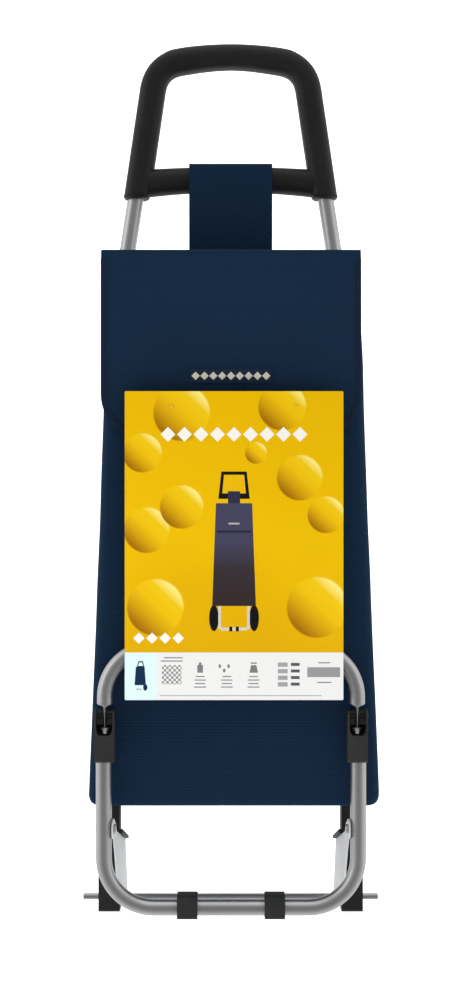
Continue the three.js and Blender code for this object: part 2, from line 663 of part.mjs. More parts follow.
const boardBottom = BAG_BOTTOM + BAG_WALL + GAP;
const BOARD_THICKNESS = 3;
const BOARD_HALF_WIDTH = 132;
add("bag_base_board",
  block([-BOARD_HALF_WIDTH, BOARD_HALF_WIDTH], [BAG_BACK + 9, FOLD_IN_BACK - 2],
    [boardBottom, boardBottom + BOARD_THICKNESS]), BOARD);

// Webbing loops that tie the bag's back to the rear tubes.
const LOOP_HEIGHT = 26;
const LOOP_RADIUS = 11;
const LOOP_TAB_X = 96;               // the tab's inner end, behind the bag
const LOOP_TAB_BACK = 9.9;

function tubeLoop(side, z) {
  const [low, high] = [z - LOOP_HEIGHT / 2, z + LOOP_HEIGHT / 2];
  const outer = uprightRod(LOOP_RADIUS, side * REAR_TUBE_X, 0, low, high, 16);
  const tabXs = [side * LOOP_TAB_X, side * (REAR_TUBE_X - 2)].sort((p, q) => p - q);
  const tab = block(tabXs, [LOOP_TAB_BACK, BAG_BACK - GAP], [low, high]);
  const bore = uprightRod(REAR_TUBE_RADIUS + GAP, side * REAR_TUBE_X, 0, low - 5, high + 5);
  return cut(join(outer, tab), bore);
}

pair((side, name) => {
  add(`bag_loop_upper_${name}`, tubeLoop(side, 596), NAVY_FABRIC);
  add(`bag_loop_lower_${name}`, tubeLoop(side, 240), NAVY_FABRIC);
});

// Strap: sewn to the bag's back and looped over the handle's crossbar.
function strapOutline() {
  const inner = HANDLE_HALF_DEPTH + 0.6;
  const outer = inner + STRAP_THICKNESS;
  const tail = BAG_BACK - GAP;
  const top = CROSSBAR_TOP + CROSSBAR_ARCH + GAP;
  const outline = new THREE.Shape();
  outline.moveTo(tail - 2 * STRAP_THICKNESS, STRAP_TAIL_BOTTOM);
  outline.lineTo(tail, STRAP_TAIL_BOTTOM);
  outline.lineTo(tail, 712);
  outline.lineTo(outer, CROSSBAR_BOTTOM);
  outline.lineTo(outer, top - 6);
  outline.quadraticCurveTo(outer, top + STRAP_THICKNESS, outer - 7, top + STRAP_THICKNESS);
  outline.lineTo(7 - outer, top + STRAP_THICKNESS);
  outline.quadraticCurveTo(-outer, top + STRAP_THICKNESS, -outer, top - 6);
  outline.lineTo(-outer, CROSSBAR_BOTTOM);
  outline.lineTo(tail - 2 * STRAP_THICKNESS, 712);
  outline.closePath();
  const hole = new THREE.Path();
  hole.moveTo(tail - STRAP_THICKNESS, 722);
  hole.lineTo(-inner, CROSSBAR_BOTTOM);
  hole.lineTo(-inner, top - 5);
  hole.quadraticCurveTo(-inner, top, -inner + 5, top);
  hole.lineTo(inner - 5, top);
  hole.quadraticCurveTo(inner, top, inner, top - 5);
  hole.lineTo(inner, CROSSBAR_BOTTOM);
  hole.closePath();
  outline.holes.push(hole);
  return outline;
}

add("hanging_strap", sidePlate(strapOutline(), -STRAP_HALF_WIDTH, STRAP_HALF_WIDTH), NAVY_FABRIC);

// Flap: a top panel hinged at the bag's back edge and a front panel hanging from it.
const flapTopZ = BAG_TOP + GAP;
add("flap_top_panel",
  block([-FLAP_HALF_WIDTH, FLAP_HALF_WIDTH], [BAG_BACK + GAP, FLAP_INNER - GAP],
    [flapTopZ, flapTopZ + FLAP_THICKNESS]), NAVY_FABRIC);

function flapOutline() {
  const outline = new THREE.Shape();
  const [half, low, high, corner] = [FLAP_HALF_WIDTH + 0.5, FLAP_BOTTOM,
    flapTopZ + FLAP_THICKNESS, FLAP_CORNER];
  outline.moveTo(-half, high);
  outline.lineTo(-half, low + corner);
  outline.absarc(corner - half, low + corner, corner, Math.PI, 1.5 * Math.PI, false);
  outline.absarc(half - corner, low + corner, corner, 1.5 * Math.PI, 2 * Math.PI, false);
  outline.lineTo(half, high);
  outline.closePath();
  return outline;
}

const PIN_X = 62;
const PIN_Z = 556;
const PIN_RADIUS = 1;
const pinHoles = [-1, 1].map(side =>
  rodForward(PIN_RADIUS + GAP, CARD_X + side * PIN_X, FLAP_INNER - 5, CARD_AHEAD + 5, PIN_Z, 8));
add("flap_front_panel",
  cut(frontPlate(flapOutline(), FLAP_INNER, FLAP_INNER + FLAP_THICKNESS), ...pinHoles),
  NAVY_FABRIC);

const LABEL_Z = 588;
const labelBack = FLAP_INNER + FLAP_THICKNESS + GAP;
const [LABEL_HALF_WIDTH, LABEL_HALF_HEIGHT, LABEL_THICKNESS] = [41, 7, 0.8];
add("flap_label", block([-LABEL_HALF_WIDTH, LABEL_HALF_WIDTH],
  [labelBack, labelBack + LABEL_THICKNESS],
  [LABEL_Z - LABEL_HALF_HEIGHT, LABEL_Z + LABEL_HALF_HEIGHT]), LABEL);

// Touch-close pads under the flap
const padMiddle = (BAG_FRONT + FLAP_INNER) / 2;
const padHeights = [CLOSURE_Z - 12, CLOSURE_Z + 12];
const padWidths = [-30, 30];
add("closure_loop_pad", block(padWidths, [BAG_FRONT + GAP, padMiddle - GAP / 2], padHeights),
  BLACK_PLASTIC);
add("closure_hook_pad", block(padWidths, [padMiddle + GAP / 2, FLAP_INNER - GAP], padHeights),
  BLACK_PLASTIC);

// Hang card on two plastic pins through the flap
const cardXs = [CARD_X - CARD_WIDTH / 2, CARD_X + CARD_WIDTH / 2];
add("hang_card",
  cut(block(cardXs, [CARD_AHEAD, CARD_AHEAD + CARD_THICKNESS], [CARD_BOTTOM, CARD_TOP]),
    ...pinHoles), CARD);

pair((side, name) => {
  const start = FLAP_INNER - GAP - 1;
  const length = FRONT_MOST - start;
  const head = 1.8;
  const rows = [[0, 0], [0, head], [1, head], [1, PIN_RADIUS], [length - PIN_HEAD, PIN_RADIUS],
    [length - PIN_HEAD, head], [length, head - 0.6], [length, 0]];
  add(`card_pin_${name}`, turnedForward(rows, CARD_X + side * PIN_X, start, PIN_Z, 8),
    CLEAR_PLASTIC);
});

export default trolley;
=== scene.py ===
"""Folding shopping trolley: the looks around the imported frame, in metres."""
import math

import bmesh
import bpy
import numpy as np
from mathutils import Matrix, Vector, noise


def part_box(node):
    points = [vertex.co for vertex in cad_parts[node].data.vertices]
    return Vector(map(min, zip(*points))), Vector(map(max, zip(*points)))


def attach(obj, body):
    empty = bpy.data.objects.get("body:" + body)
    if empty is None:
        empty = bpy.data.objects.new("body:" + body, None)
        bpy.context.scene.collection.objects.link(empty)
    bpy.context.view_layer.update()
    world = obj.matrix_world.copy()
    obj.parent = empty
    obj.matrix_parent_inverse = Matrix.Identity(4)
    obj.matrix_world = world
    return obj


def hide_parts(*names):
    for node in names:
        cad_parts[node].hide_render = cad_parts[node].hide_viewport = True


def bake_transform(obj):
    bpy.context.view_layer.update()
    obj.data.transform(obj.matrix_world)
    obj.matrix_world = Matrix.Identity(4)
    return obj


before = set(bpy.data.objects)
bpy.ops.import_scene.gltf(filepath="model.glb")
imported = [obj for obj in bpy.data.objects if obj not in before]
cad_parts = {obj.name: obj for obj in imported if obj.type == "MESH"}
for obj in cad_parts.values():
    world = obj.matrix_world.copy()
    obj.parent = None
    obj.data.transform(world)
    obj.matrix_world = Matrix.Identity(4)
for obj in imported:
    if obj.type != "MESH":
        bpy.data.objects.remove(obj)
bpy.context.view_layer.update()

MM = 0.001
BEND_RADIUS = 50 * MM
TUBE_SIDES = 48

# ---- places taken from the frame
foot_low, foot_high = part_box("foot_tube")
arch_low, arch_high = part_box("shelf_arch")
axle_low, axle_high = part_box("axle")
bag_low, bag_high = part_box("bag_body")
flap_low, flap_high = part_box("flap_front_panel")
lid_low, lid_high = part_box("flap_top_panel")
strap_low, strap_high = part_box("hanging_strap")
card_low, card_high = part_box("hang_card")
handle_front_low, handle_front_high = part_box("handle_front_shell")
_, handle_back_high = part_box("handle_back_shell")
rear_y = (axle_low[1] + axle_high[1]) / 2
front_y = (foot_low[1] + foot_high[1]) / 2


# ---- node material helpers
def new_material(name):
    material = bpy.data.materials.new(name)
    material.use_nodes = True
    tree = material.node_tree
    shader = tree.nodes["Principled BSDF"]
    return material, tree, shader


def node(tree, kind):
    return tree.nodes.new(kind)


def link(tree, source, target):
    tree.links.new(source, target)


def set_inputs(made, values):
    for socket, value in values.items():
        made.inputs[socket].default_value = value


def math_node(tree, operation, *values):
    """A math node's output. Each value is a number or another node's output."""
    made = node(tree, "ShaderNodeMath")
    made.operation = operation
    for socket, value in zip(made.inputs, values):
        if isinstance(value, (int, float)):
            socket.default_value = value
        else:
            link(tree, value, socket)
    return made.outputs[0]


def plus(tree, first, second):
    return math_node(tree, "ADD", first, second)


def minus(tree, first, second):
    return math_node(tree, "SUBTRACT", first, second)


def times(tree, first, *others):
    for other in others:
        first = math_node(tree, "MULTIPLY", first, other)
    return first


def scaled(tree, value, factor, offset):
    return math_node(tree, "MULTIPLY_ADD", value, factor, offset)


def wave(tree, value, length):
    """A sine along value, in metres, that repeats each length."""
    return math_node(tree, "SINE", times(tree, value, 2 * math.pi / length))


def position(tree, scale=(1, 1, 1)):
    """Object coordinates, scaled. The meshes keep their place, so these are the rest frame's."""
    source = node(tree, "ShaderNodeTexCoord").outputs["Object"]
    mapping = node(tree, "ShaderNodeMapping")
    mapping.inputs["Scale"].default_value = scale
    link(tree, source, mapping.inputs["Vector"])
    return mapping.outputs["Vector"]


def separate_position(tree):
    """The rest frame's X, Y and Z."""
    parts = node(tree, "ShaderNodeSeparateXYZ")
    link(tree, position(tree), parts.inputs["Vector"])
    return parts.outputs["X"], parts.outputs["Y"], parts.outputs["Z"]


def colour_ramp(tree, factor, stops):
    ramp = node(tree, "ShaderNodeValToRGB")
    elements = ramp.color_ramp.elements
    while len(elements) < len(stops):
        elements.new(0.5)
    for element, (place, colour) in zip(elements, stops):
        element.position = place
        element.color = (*colour, 1)
    link(tree, factor, ramp.inputs["Fac"])
    return ramp.outputs["Color"]


def add_bump(tree, shader, height, strength, distance):
    bump = node(tree, "ShaderNodeBump")
    set_inputs(bump, {"Strength": strength, "Distance": distance})
    link(tree, height, bump.inputs["Height"])
    link(tree, bump.outputs["Normal"], shader.inputs["Normal"])


def noise_value(tree, scale, detail, stretch=(1, 1, 1)):
    texture = node(tree, "ShaderNodeTexNoise")
    set_inputs(texture, {"Scale": scale, "Detail": detail})
    link(tree, position(tree, stretch), texture.inputs["Vector"])
    return texture.outputs["Fac"]


def metal(name, dark, light, roughness, grain_stretch=(1, 1, 0.05), metallic=1.0):
    """Lacquered or plated metal: slow colour drift, fine drawn grain and a little orange peel."""
    material, tree, shader = new_material(name)
    shader.inputs["Metallic"].default_value = metallic
    drift = noise_value(tree, 14, 4)
    link(tree, colour_ramp(tree, drift, [(0.3, dark), (0.7, light)]), shader.inputs["Base Color"])
    grain = noise_value(tree, 900, 2, grain_stretch)
    link(tree, scaled(tree, grain, 0.10, roughness - 0.05), shader.inputs["Roughness"])
    peel = noise_value(tree, 420, 3)
    add_bump(tree, shader, peel, 0.12, 0.2 * MM)
    return material


def plastic(name, dark, light, roughness, texture_scale=1400, bump=0.25):
    """Moulded plastic: fine spark-eroded grain with slightly uneven gloss."""
    material, tree, shader = new_material(name)
    drift = noise_value(tree, 20, 3)
    link(tree, colour_ramp(tree, drift, [(0.35, dark), (0.65, light)]), shader.inputs["Base Color"])
    grain = noise_value(tree, texture_scale, 2)
    link(tree, scaled(tree, grain, 0.12, roughness - 0.06), shader.inputs["Roughness"])
    shader.inputs["Specular IOR Level"].default_value = 0.3
    add_bump(tree, shader, grain, bump, 0.12 * MM)
    return material


def ribbed_fabric(name, dark, light, rib=3.1 * MM):
    """Woven polyester with fine ribs across it, broken up by crossing threads."""
    material, tree, shader = new_material(name)
    x, y, z = separate_position(tree)
    ridge = wave(tree, z, rib)
    thread = wave(tree, plus(tree, x, y), 0.8 * MM)
    weave = plus(tree, times(tree, ridge, 0.5), times(tree, thread, 0.16))
    height = plus(tree, weave, times(tree, noise_value(tree, 1300, 2), 0.35))
    slow = minus(tree, noise_value(tree, 5, 4), 0.5)
    mixed = plus(tree, scaled(tree, weave, 0.22, 0.38), times(tree, slow, 0.5))
    link(tree, colour_ramp(tree, mixed, [(0.1, dark), (0.75, light)]), shader.inputs["Base Color"])
    set_inputs(shader, {"Roughness": 0.85, "Specular IOR Level": 0.12, "Sheen Weight": 0.04,
                        "Sheen Roughness": 0.45, "Sheen Tint": (0.25, 0.4, 0.75, 1)})
    add_bump(tree, shader, height, 0.5, 0.3 * MM)
    return material


SILVER = metal("satin_silver", (0.51, 0.51, 0.512), (0.57, 0.57, 0.572), 0.40)
STEEL = metal("zinc_plated_steel", (0.42, 0.42, 0.41), (0.50, 0.50, 0.49), 0.36, (0.05, 1, 1))
SHEET = metal("pale_grey_sheet", (0.58, 0.59, 0.60), (0.64, 0.65, 0.66), 0.50, (1, 1, 1), 0.2)
HANDLE = plastic("handle_black_plastic", (0.0065, 0.0065, 0.0068), (0.0095, 0.0095, 0.0098), 0.46)
BLACK = plastic("bracket_black_plastic", (0.0105, 0.0115, 0.0125), (0.0145, 0.0155, 0.0165), 0.55)
COLLAR = plastic("collar_grey_plastic", (0.020, 0.021, 0.0225), (0.027, 0.028, 0.030), 0.6)
RUBBER = plastic("foot_clip_rubber", (0.017, 0.018, 0.0195), (0.024, 0.025, 0.026), 0.75, 700, 0.4)
NAVY = ribbed_fabric("navy_ribbed_polyester", (0.0030, 0.0150, 0.0385), (0.0068, 0.0245, 0.0590))
NAVY_BINDING = ribbed_fabric("navy_edge_binding", (0.0042, 0.0120, 0.031), (0.0080, 0.0195, 0.046),
                             0.7 * MM)
THREAD = ribbed_fabric("navy_thread", (0.010, 0.022, 0.052), (0.02, 0.04, 0.09), 0.3 * MM)
BOARD = plastic("base_board", (0.16, 0.12, 0.08), (0.24, 0.19, 0.13), 0.85, 300, 0.4)
TAPE = plastic("touch_close_tape", (0.006, 0.006, 0.007), (0.014, 0.014, 0.016), 0.9, 900, 1.0)
PIN = plastic("pin_plastic", (0.66, 0.40, 0.02), (0.76, 0.47, 0.04), 0.4)


# ---- mesh helpers
def add_object(name, data):
    made = bpy.data.objects.new(name, data)
    bpy.context.scene.collection.objects.link(made)
    return made


def write_outward(work, mesh):
    """Put a bmesh's faces, all turned outwards, in a mesh."""
    bmesh.ops.recalc_face_normals(work, faces=work.faces)
    work.to_mesh(mesh)
    work.free()


def new_piece(name, vertices, faces, material):
    mesh = bpy.data.meshes.new(name)
    mesh.from_pydata([tuple(v) for v in vertices], [], faces)
    mesh.materials.append(material)
    mesh.update()
    work = bmesh.new()
    work.from_mesh(mesh)
    write_outward(work, mesh)
    mesh.shade_smooth()
    return add_object(name, mesh)


def apply_modifiers(piece):
    graph = bpy.context.evaluated_depsgraph_get()
    made = bpy.data.meshes.new_from_object(piece.evaluated_get(graph))
    old = piece.data
    piece.modifiers.clear()
    piece.data = made
    bpy.data.meshes.remove(old)


def sharpen(piece, degrees):
    """Smooth shading that keeps the edges sharper than an angle."""
    piece.data.shade_smooth()
    piece.data.set_sharp_from_angle(angle=math.radians(degrees))


def piece_from(work, name, material, degrees):
    """A new piece with a bmesh's faces."""
    mesh = bpy.data.meshes.new(name)
    write_outward(work, mesh)
    mesh.materials.append(material)
    piece = add_object(name, mesh)
    sharpen(piece, degrees)
    return piece


def loft(loops, closed_ends=True):
    """Vertices and faces that join rings of equal length."""
    count = len(loops[0])
    vertices = [point for loop in loops for point in loop]
    faces = []
    for ring in range(len(loops) - 1):
        for i in range(count):
            j = (i + 1) % count
            faces.append((ring * count + i, ring * count + j,
                          (ring + 1) * count + j, (ring + 1) * count + i))
    if closed_ends:
        faces.append(tuple(range(count)))
        faces.append(tuple(range((len(loops) - 1) * count, len(loops) * count)))
    return vertices, faces


def add_loft(vertices, faces, loops):
    """Add one more run of joined rings to a mesh in the making."""
    start = len(vertices)
    more_vertices, more_faces = loft(loops)
    vertices += more_vertices
    faces += [tuple(start + index for index in face) for face in more_faces]


def bent_route(corners, radius, steps):
    """Stations (point, tangent) along straights joined by bends of one radius."""
    corners = [Vector(corner) for corner in corners]
    heading = [(b - a).normalized() for a, b in zip(corners, corners[1:])]
    stations = [(corners[0], heading[0])]
    for index in range(1, len(corners) - 1):
        before, after = heading[index - 1], heading[index]
        turn = before.angle(after)
        inward = (after - before * after.dot(before)).normalized()
        start = corners[index] - before * radius * math.tan(turn / 2)
        for step in range(steps + 1):
            angle = turn * step / steps
            sine, cosine = math.sin(angle), math.cos(angle)
            stations.append((start + before * radius * sine + inward * radius * (1 - cosine),
                             before * cosine + inward * sine))
    stations.append((corners[-1], heading[-1]))
    return stations


def ring_about(point, tangent, across, radius_a, radius_b=None, sides=TUBE_SIDES):
    """A ring square to tangent: radius_a along the in-plane normal, radius_b along across."""
    across = Vector(across)
    normal = across.cross(tangent).normalized()
    radius_b = radius_a if radius_b is None else radius_b
    return [point + normal * radius_a * math.cos(2 * math.pi * i / sides)
            + across * radius_b * math.sin(2 * math.pi * i / sides) for i in range(sides)]


def tube_piece(name, stations, radius):
    loops = [ring_about(point, tangent, (0, 1, 0), radius) for point, tangent in stations]
    piece = new_piece(name, *loft(loops), SILVER)
    sharpen(piece, 60)
    return piece


def bezier(p0, p1, p2, p3, count):
    """Points of a cubic curve, leaving out the first."""
    made = []
    for step in range(1, count + 1):
        t = step / count
        weights = ((1 - t) ** 3, 3 * t * (1 - t) ** 2, 3 * t * t * (1 - t), t ** 3)
        made.append(tuple(sum(w * p[k] for w, p in zip(weights, (p0, p1, p2, p3))) for k in (0, 1)))
    return made


def straight(p0, p1, count):
    return [tuple(a + (b - a) * step / count for a, b in zip(p0, p1))
            for step in range(1, count + 1)]


# ---- shared routes
POLYGON = math.cos(math.pi / 16)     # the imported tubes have 16 sides
REAR_BEND_Z = 626.5 * MM
REAR_BEND_RADIUS = 180 * MM
BEND_STEPS = 18


def rear_route(side_name):
    """Stations along a rear tube, and its radius."""
    low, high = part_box(f"rear_tube_{side_name}")
    side = -1 if side_name == "left" else 1
    radius = (high[1] - low[1]) / 2 / POLYGON
    upright_x = max(abs(low[0]), abs(high[0])) - radius * POLYGON
    top_x = min(abs(low[0]), abs(high[0])) + radius * POLYGON
    corners = [(side * upright_x, rear_y, low[2]), (side * upright_x, rear_y, REAR_BEND_Z),
               (side * top_x, rear_y, high[2])]
    return bent_route(corners, REAR_BEND_RADIUS, 8), radius


# ---- handle
HANDLE_FOOT_X = handle_front_high[0]
HANDLE_FOOT_Z = handle_front_low[2]
HANDLE_TOP_Z = handle_front_high[2]
HANDLE_MID_Y = (handle_front_low[1] + handle_back_high[1]) / 2
HANDLE_HALF_DEPTH = (handle_back_high[1] - handle_front_low[1]) / 2
CROSSBAR_HALF_DEPTH = HANDLE_HALF_DEPTH - 2 * MM


def half_bow():
    """Matching points (x, z) of the loop's outer and inner edge, from a foot to the top, in mm."""
    foot_x, foot_z, top_z = HANDLE_FOOT_X / MM, HANDLE_FOOT_Z / MM, HANDLE_TOP_Z / MM
    shoulder, crown = (foot_x - 18, foot_z + 122), (foot_x - 53.3, top_z - 6.5)
    outer = [(foot_x, foot_z)] + straight((foot_x, foot_z), shoulder, 22)
    outer += bezier(shoulder, (foot_x - 20.8, foot_z + 143), (foot_x - 29.3, foot_z + 159),
                    crown, 24)
    outer += bezier(crown, (crown[0] - 18, top_z - 2), (20, top_z), (0, top_z), 16)
    armpit = (foot_x - 47.8, foot_z + 121)
    inner = [(foot_x - 30, foot_z)] + straight((foot_x - 30, foot_z), armpit, 22)
    inner += bezier(armpit, (foot_x - 49.8, foot_z + 134), (foot_x - 55.3, foot_z + 139.5),
                    (foot_x - 67.3, foot_z + 141.5), 24)
    opening_top = top_z - 28.1
    inner += bezier(inner[-1], (36, foot_z + 144.6), (18, opening_top), (0, opening_top), 16)
    return outer, inner


BAR_SIDES = 40


def bar_ring(first, second, half_depth, inset=0.0, power=0.8):
    """A soft-cornered ring round the bar between two edge points (x, z), in millimetres."""
    first, second = (Vector((x, 0, z)) for x, z in (first, second))
    centre, reach = (first + second) / 2, (first - second) / 2
    reach *= (reach.length - inset) / reach.length
    depth = half_depth - inset
    ring = []
    for step in range(BAR_SIDES):
        angle = 2 * math.pi * step / BAR_SIDES
        across = math.copysign(abs(math.cos(angle)) ** power, math.cos(angle))
        along = math.copysign(abs(math.sin(angle)) ** power, math.sin(angle))
        ring.append((centre + reach * across + Vector((0, depth * along, 0))) * MM
                    + Vector((0, HANDLE_MID_Y, 0)))
    return ring


def handle_bow():
    """The legs and the grip as one rounded bar with softened feet."""
    outer, inner = half_bow()
    outer += [(-x, z) for x, z in reversed(outer[:-1])]
    inner += [(-x, z) for x, z in reversed(inner[:-1])]
    half_depth = HANDLE_HALF_DEPTH / MM
    soft = 4.0
    ends = [(soft * (1 - math.sin(a)), soft * (1 - math.cos(a)))
            for a in np.linspace(0, math.pi / 2, 6)]

    def foot_rings(index, insets):
        places = [[(x, z + lift) for x, z in (outer[index], inner[index])] for _, lift in insets]
        return [bar_ring(*place, half_depth, inset) for place, (inset, _) in zip(places, insets)]

    loops = foot_rings(0, ends)
    loops += [bar_ring(o, i, half_depth) for o, i in zip(outer[1:-1], inner[1:-1])]
    loops += foot_rings(-1, ends[::-1])
    return new_piece("handle_bow", *loft(loops), HANDLE)


def handle_crossbar():
    """The lower bar that the strap hangs from: it rises a little towards its middle."""
    reach, end = 88.3, 104           # where the bar meets the legs, and where it ends inside them
    bottom, top = HANDLE_FOOT_Z / MM + 3.5, HANDLE_FOOT_Z / MM + 34.5
    loops = []
    for x in np.linspace(-end, end, 53):
        arch = max(-0.2, 1 - (x / reach) ** 2)
        loops.append(bar_ring((x, top + 2.5 * arch), (x, bottom + 5 * arch),
                              CROSSBAR_HALF_DEPTH / MM, power=0.86))
    return new_piece("handle_crossbar", *loft(loops), HANDLE)


def combine(piece, other, operation):
    """Join other to piece or cut it away, then remove other."""
    step = piece.modifiers.new(operation.lower(), "BOOLEAN")
    step.operation = operation
    step.solver = "EXACT"
    step.object = other
    apply_modifiers(piece)
    bpy.data.objects.remove(other)


def half_of(piece, name, direction):
    """The part of a closed piece on one side of the parting plane, closed again at the plane."""
    work = bmesh.new()
    work.from_mesh(piece.data)
    normal = (0, -direction, 0)
    plane = (0, HANDLE_MID_Y + direction * 0.15 * MM, 0)
    geometry = work.verts[:] + work.edges[:] + work.faces[:]
    cut = bmesh.ops.bisect_plane(work, geom=geometry, plane_co=plane, plane_no=normal,
                                 clear_outer=True)
    rim = [item for item in cut["geom_cut"] if isinstance(item, bmesh.types.BMEdge)]
    bmesh.ops.triangle_fill(work, edges=rim, use_beauty=True)
    return piece_from(work, name, HANDLE, 40)


def handle_bores():
    """What is cut from the handle: the rear tubes' sockets and the screws' counterbores."""
    backward = Vector((0, 1, 0))
    vertices, faces = [], []

    def add_rod(stations, radius, across, sides):
        add_loft(vertices, faces, [ring_about(point, tangent, across, radius, sides=sides)
                                   for point, tangent in stations])

    for side_name in ("left", "right"):
        route, radius = rear_route(side_name)
        end, heading = route[-1]
        add_rod(route[:-1] + [(end + heading * 0.3 * MM, heading)], radius + 0.2 * MM, backward, 32)
        for screw in ("socket", "bar"):
            low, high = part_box(f"handle_{screw}_screw_{side_name}")
            head = Vector(((low[0] + high[0]) / 2, high[1] - 2.7 * MM, (low[2] + high[2]) / 2))
            add_rod([(head, backward), (head + backward * 12 * MM, backward)],
                    (high[0] - low[0]) / 2 + 0.3 * MM, (1, 0, 0), 24)
    return new_piece("handle_bores", vertices, faces, HANDLE)


handle = handle_bow()
combine(handle, handle_crossbar(), "UNION")
combine(handle, handle_bores(), "DIFFERENCE")
for shell_name, shell_side in (("handle_front", -1), ("handle_back", 1)):
    shell = half_of(handle, shell_name, shell_side)
    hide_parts(shell_name + "_shell")
    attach(shell, "frame")
bpy.data.objects.remove(handle)


# ---- tubes
for side_name in ("left", "right"):
    piece = tube_piece(f"rear_tube_steel_{side_name}", *rear_route(side_name))
    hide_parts(f"rear_tube_{side_name}")
    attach(piece, "frame")

TUBE_RADIUS = (foot_high[1] - foot_low[1]) / 2 / POLYGON
foot_x = foot_high[0] - TUBE_RADIUS * POLYGON
foot_cross_z = foot_low[2] + TUBE_RADIUS * POLYGON
foot_piece = tube_piece("foot_tube_steel", bent_route(
    [(-foot_x, front_y, foot_high[2]), (-foot_x, front_y, foot_cross_z),
     (foot_x, front_y, foot_cross_z), (foot_x, front_y, foot_high[2])], BEND_RADIUS, BEND_STEPS),
    TUBE_RADIUS)
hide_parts("foot_tube")
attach(foot_piece, "foot")


def shelf_arch():
    """The arch tube, pressed flat at each end into a tongue with a flared toe."""
    arch_x = arch_high[0] - TUBE_RADIUS * POLYGON
    cross_z = arch_high[2] - TUBE_RADIUS * POLYGON
    end_z = arch_low[2]
    round_z = end_z + 32 * MM        # above this the tube is round
    route = bent_route([(-arch_x, front_y, round_z), (-arch_x, front_y, cross_z),
                        (arch_x, front_y, cross_z), (arch_x, front_y, round_z)],
                       BEND_RADIUS, BEND_STEPS)
    # (height over the toe's end, half width, half depth) of the pressed end, in millimetres
    pressed = [(0, 3.0, 5.1), (0.4, 3.3, 5.4), (5.6, 5.2, 2.7), (5.9, 4.8, 2.6), (6.1, 1.7, 3.6),
               (17.5, 1.7, 6.4), (25, 1.7, 7.2), (26, 1.9, 7.4), (26.7, 2.8, 7.5), (27.4, 4.2, 7.6),
               (28.1, 5.6, 7.7), (28.9, 6.9, 7.9), (30, 8, 8)]
    across = (0, 1, 0)

    def pressed_rings(x, heading, rows):
        return [ring_about(Vector((x, front_y, end_z + height * MM)), Vector((0, 0, heading)),
                           across, wide * MM, deep * MM) for height, wide, deep in rows]

    loops = pressed_rings(-arch_x, 1, pressed)
    loops += [ring_about(point, tangent, across, TUBE_RADIUS) for point, tangent in route]
    loops += pressed_rings(arch_x, -1, pressed[::-1])
    piece = new_piece("shelf_arch_steel", *loft(loops), SILVER)
    sharpen(piece, 50)
    return piece


arch_piece = shelf_arch()
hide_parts("shelf_arch")
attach(arch_piece, "shelf")


# ---- hard CAD pieces: softened edges
DRESS_ANGLE = math.radians(32)       # edges sharper than this are rounded and stay crisp


def dress(node_name, material, edge):
    """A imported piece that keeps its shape: rounded edges, smooth shading and its own material."""
    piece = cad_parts[node_name]
    piece.data.materials.clear()
    piece.data.materials.append(material)
    weld = piece.modifiers.new("weld", "WELD")
    weld.merge_threshold = 0.02 * MM
    bevel = piece.modifiers.new("edges", "BEVEL")
    bevel.width = edge
    bevel.segments = 3
    bevel.limit_method = "ANGLE"
    bevel.angle_limit = DRESS_ANGLE
    piece.data.shade_smooth()
    piece.data.set_sharp_from_angle(angle=DRESS_ANGLE)


# (name without its side, material, width of the rounded edges in millimetres)
DRESSED_PAIRS = [
    ("axle_bracket", BLACK, 1.2), ("collar", COLLAR, 0.5), ("foot_clip", RUBBER, 0.8),
    ("link_panel", SHEET, 0.3), ("axle_spacer", BLACK, 0.4), ("axle_clip", STEEL, 0.2),
    # shelf_pivot: black plastic, and its black also paints the shade deep inside each collar's fork
    ("bracket_rivet", STEEL, 0.2), ("foot_pivot", STEEL, 0.2), ("shelf_pivot", BLACK, 0.2),
    ("link_strip", BLACK, 0.6), ("handle_socket_screw", STEEL, 0.2),
    ("handle_bar_screw", STEEL, 0.2), ("bag_loop_upper", NAVY_BINDING, 0.3),
    ("bag_loop_lower", NAVY_BINDING, 0.3), ("card_pin", PIN, 0.2),
]
DRESSED_SINGLES = [("axle", STEEL, 0.2), ("bag_base_board", BOARD, 0.4),
                   ("closure_loop_pad", TAPE, 0.2), ("closure_hook_pad", TAPE, 0.2)]
for stem, material, edge in DRESSED_PAIRS:
    for side_name in ("left", "right"):
        dress(f"{stem}_{side_name}", material, edge * MM)
for node_name, material, edge in DRESSED_SINGLES:
    dress(node_name, material, edge * MM)


# ---- bag
BAG_WALL = 2.2 * MM
BAG_EDGE = 9 * MM
BAG_BOTTOM_EDGE = (8 * MM, 5 * MM, 11 * MM)   # how far it rounds across, front to back and upwards
BAG_BOTTOM_FLAT = 70 * MM            # how far the bottom's rings step in from the walls
BAG_WALL_START = 13.2 * MM           # the first ring of the walls, over the bottom
BAG_LEAN = 3 * MM                    # the loaded bag hangs a little to one side, below its mouth
BAG_PROFILE = [(153, 147.8), (166, 147.5), (191, 146.6), (443, 136.3), (558, 132.2), (715, 129.0)]


def bag_half_width(z):
    heights = [row[0] * MM for row in BAG_PROFILE]
    widths = [row[1] * MM for row in BAG_PROFILE]
    return float(np.interp(z, heights, widths))


def bag_lean(z):
    return BAG_LEAN * min(1.0, max(0.0, (0.68 - z) / 0.08))


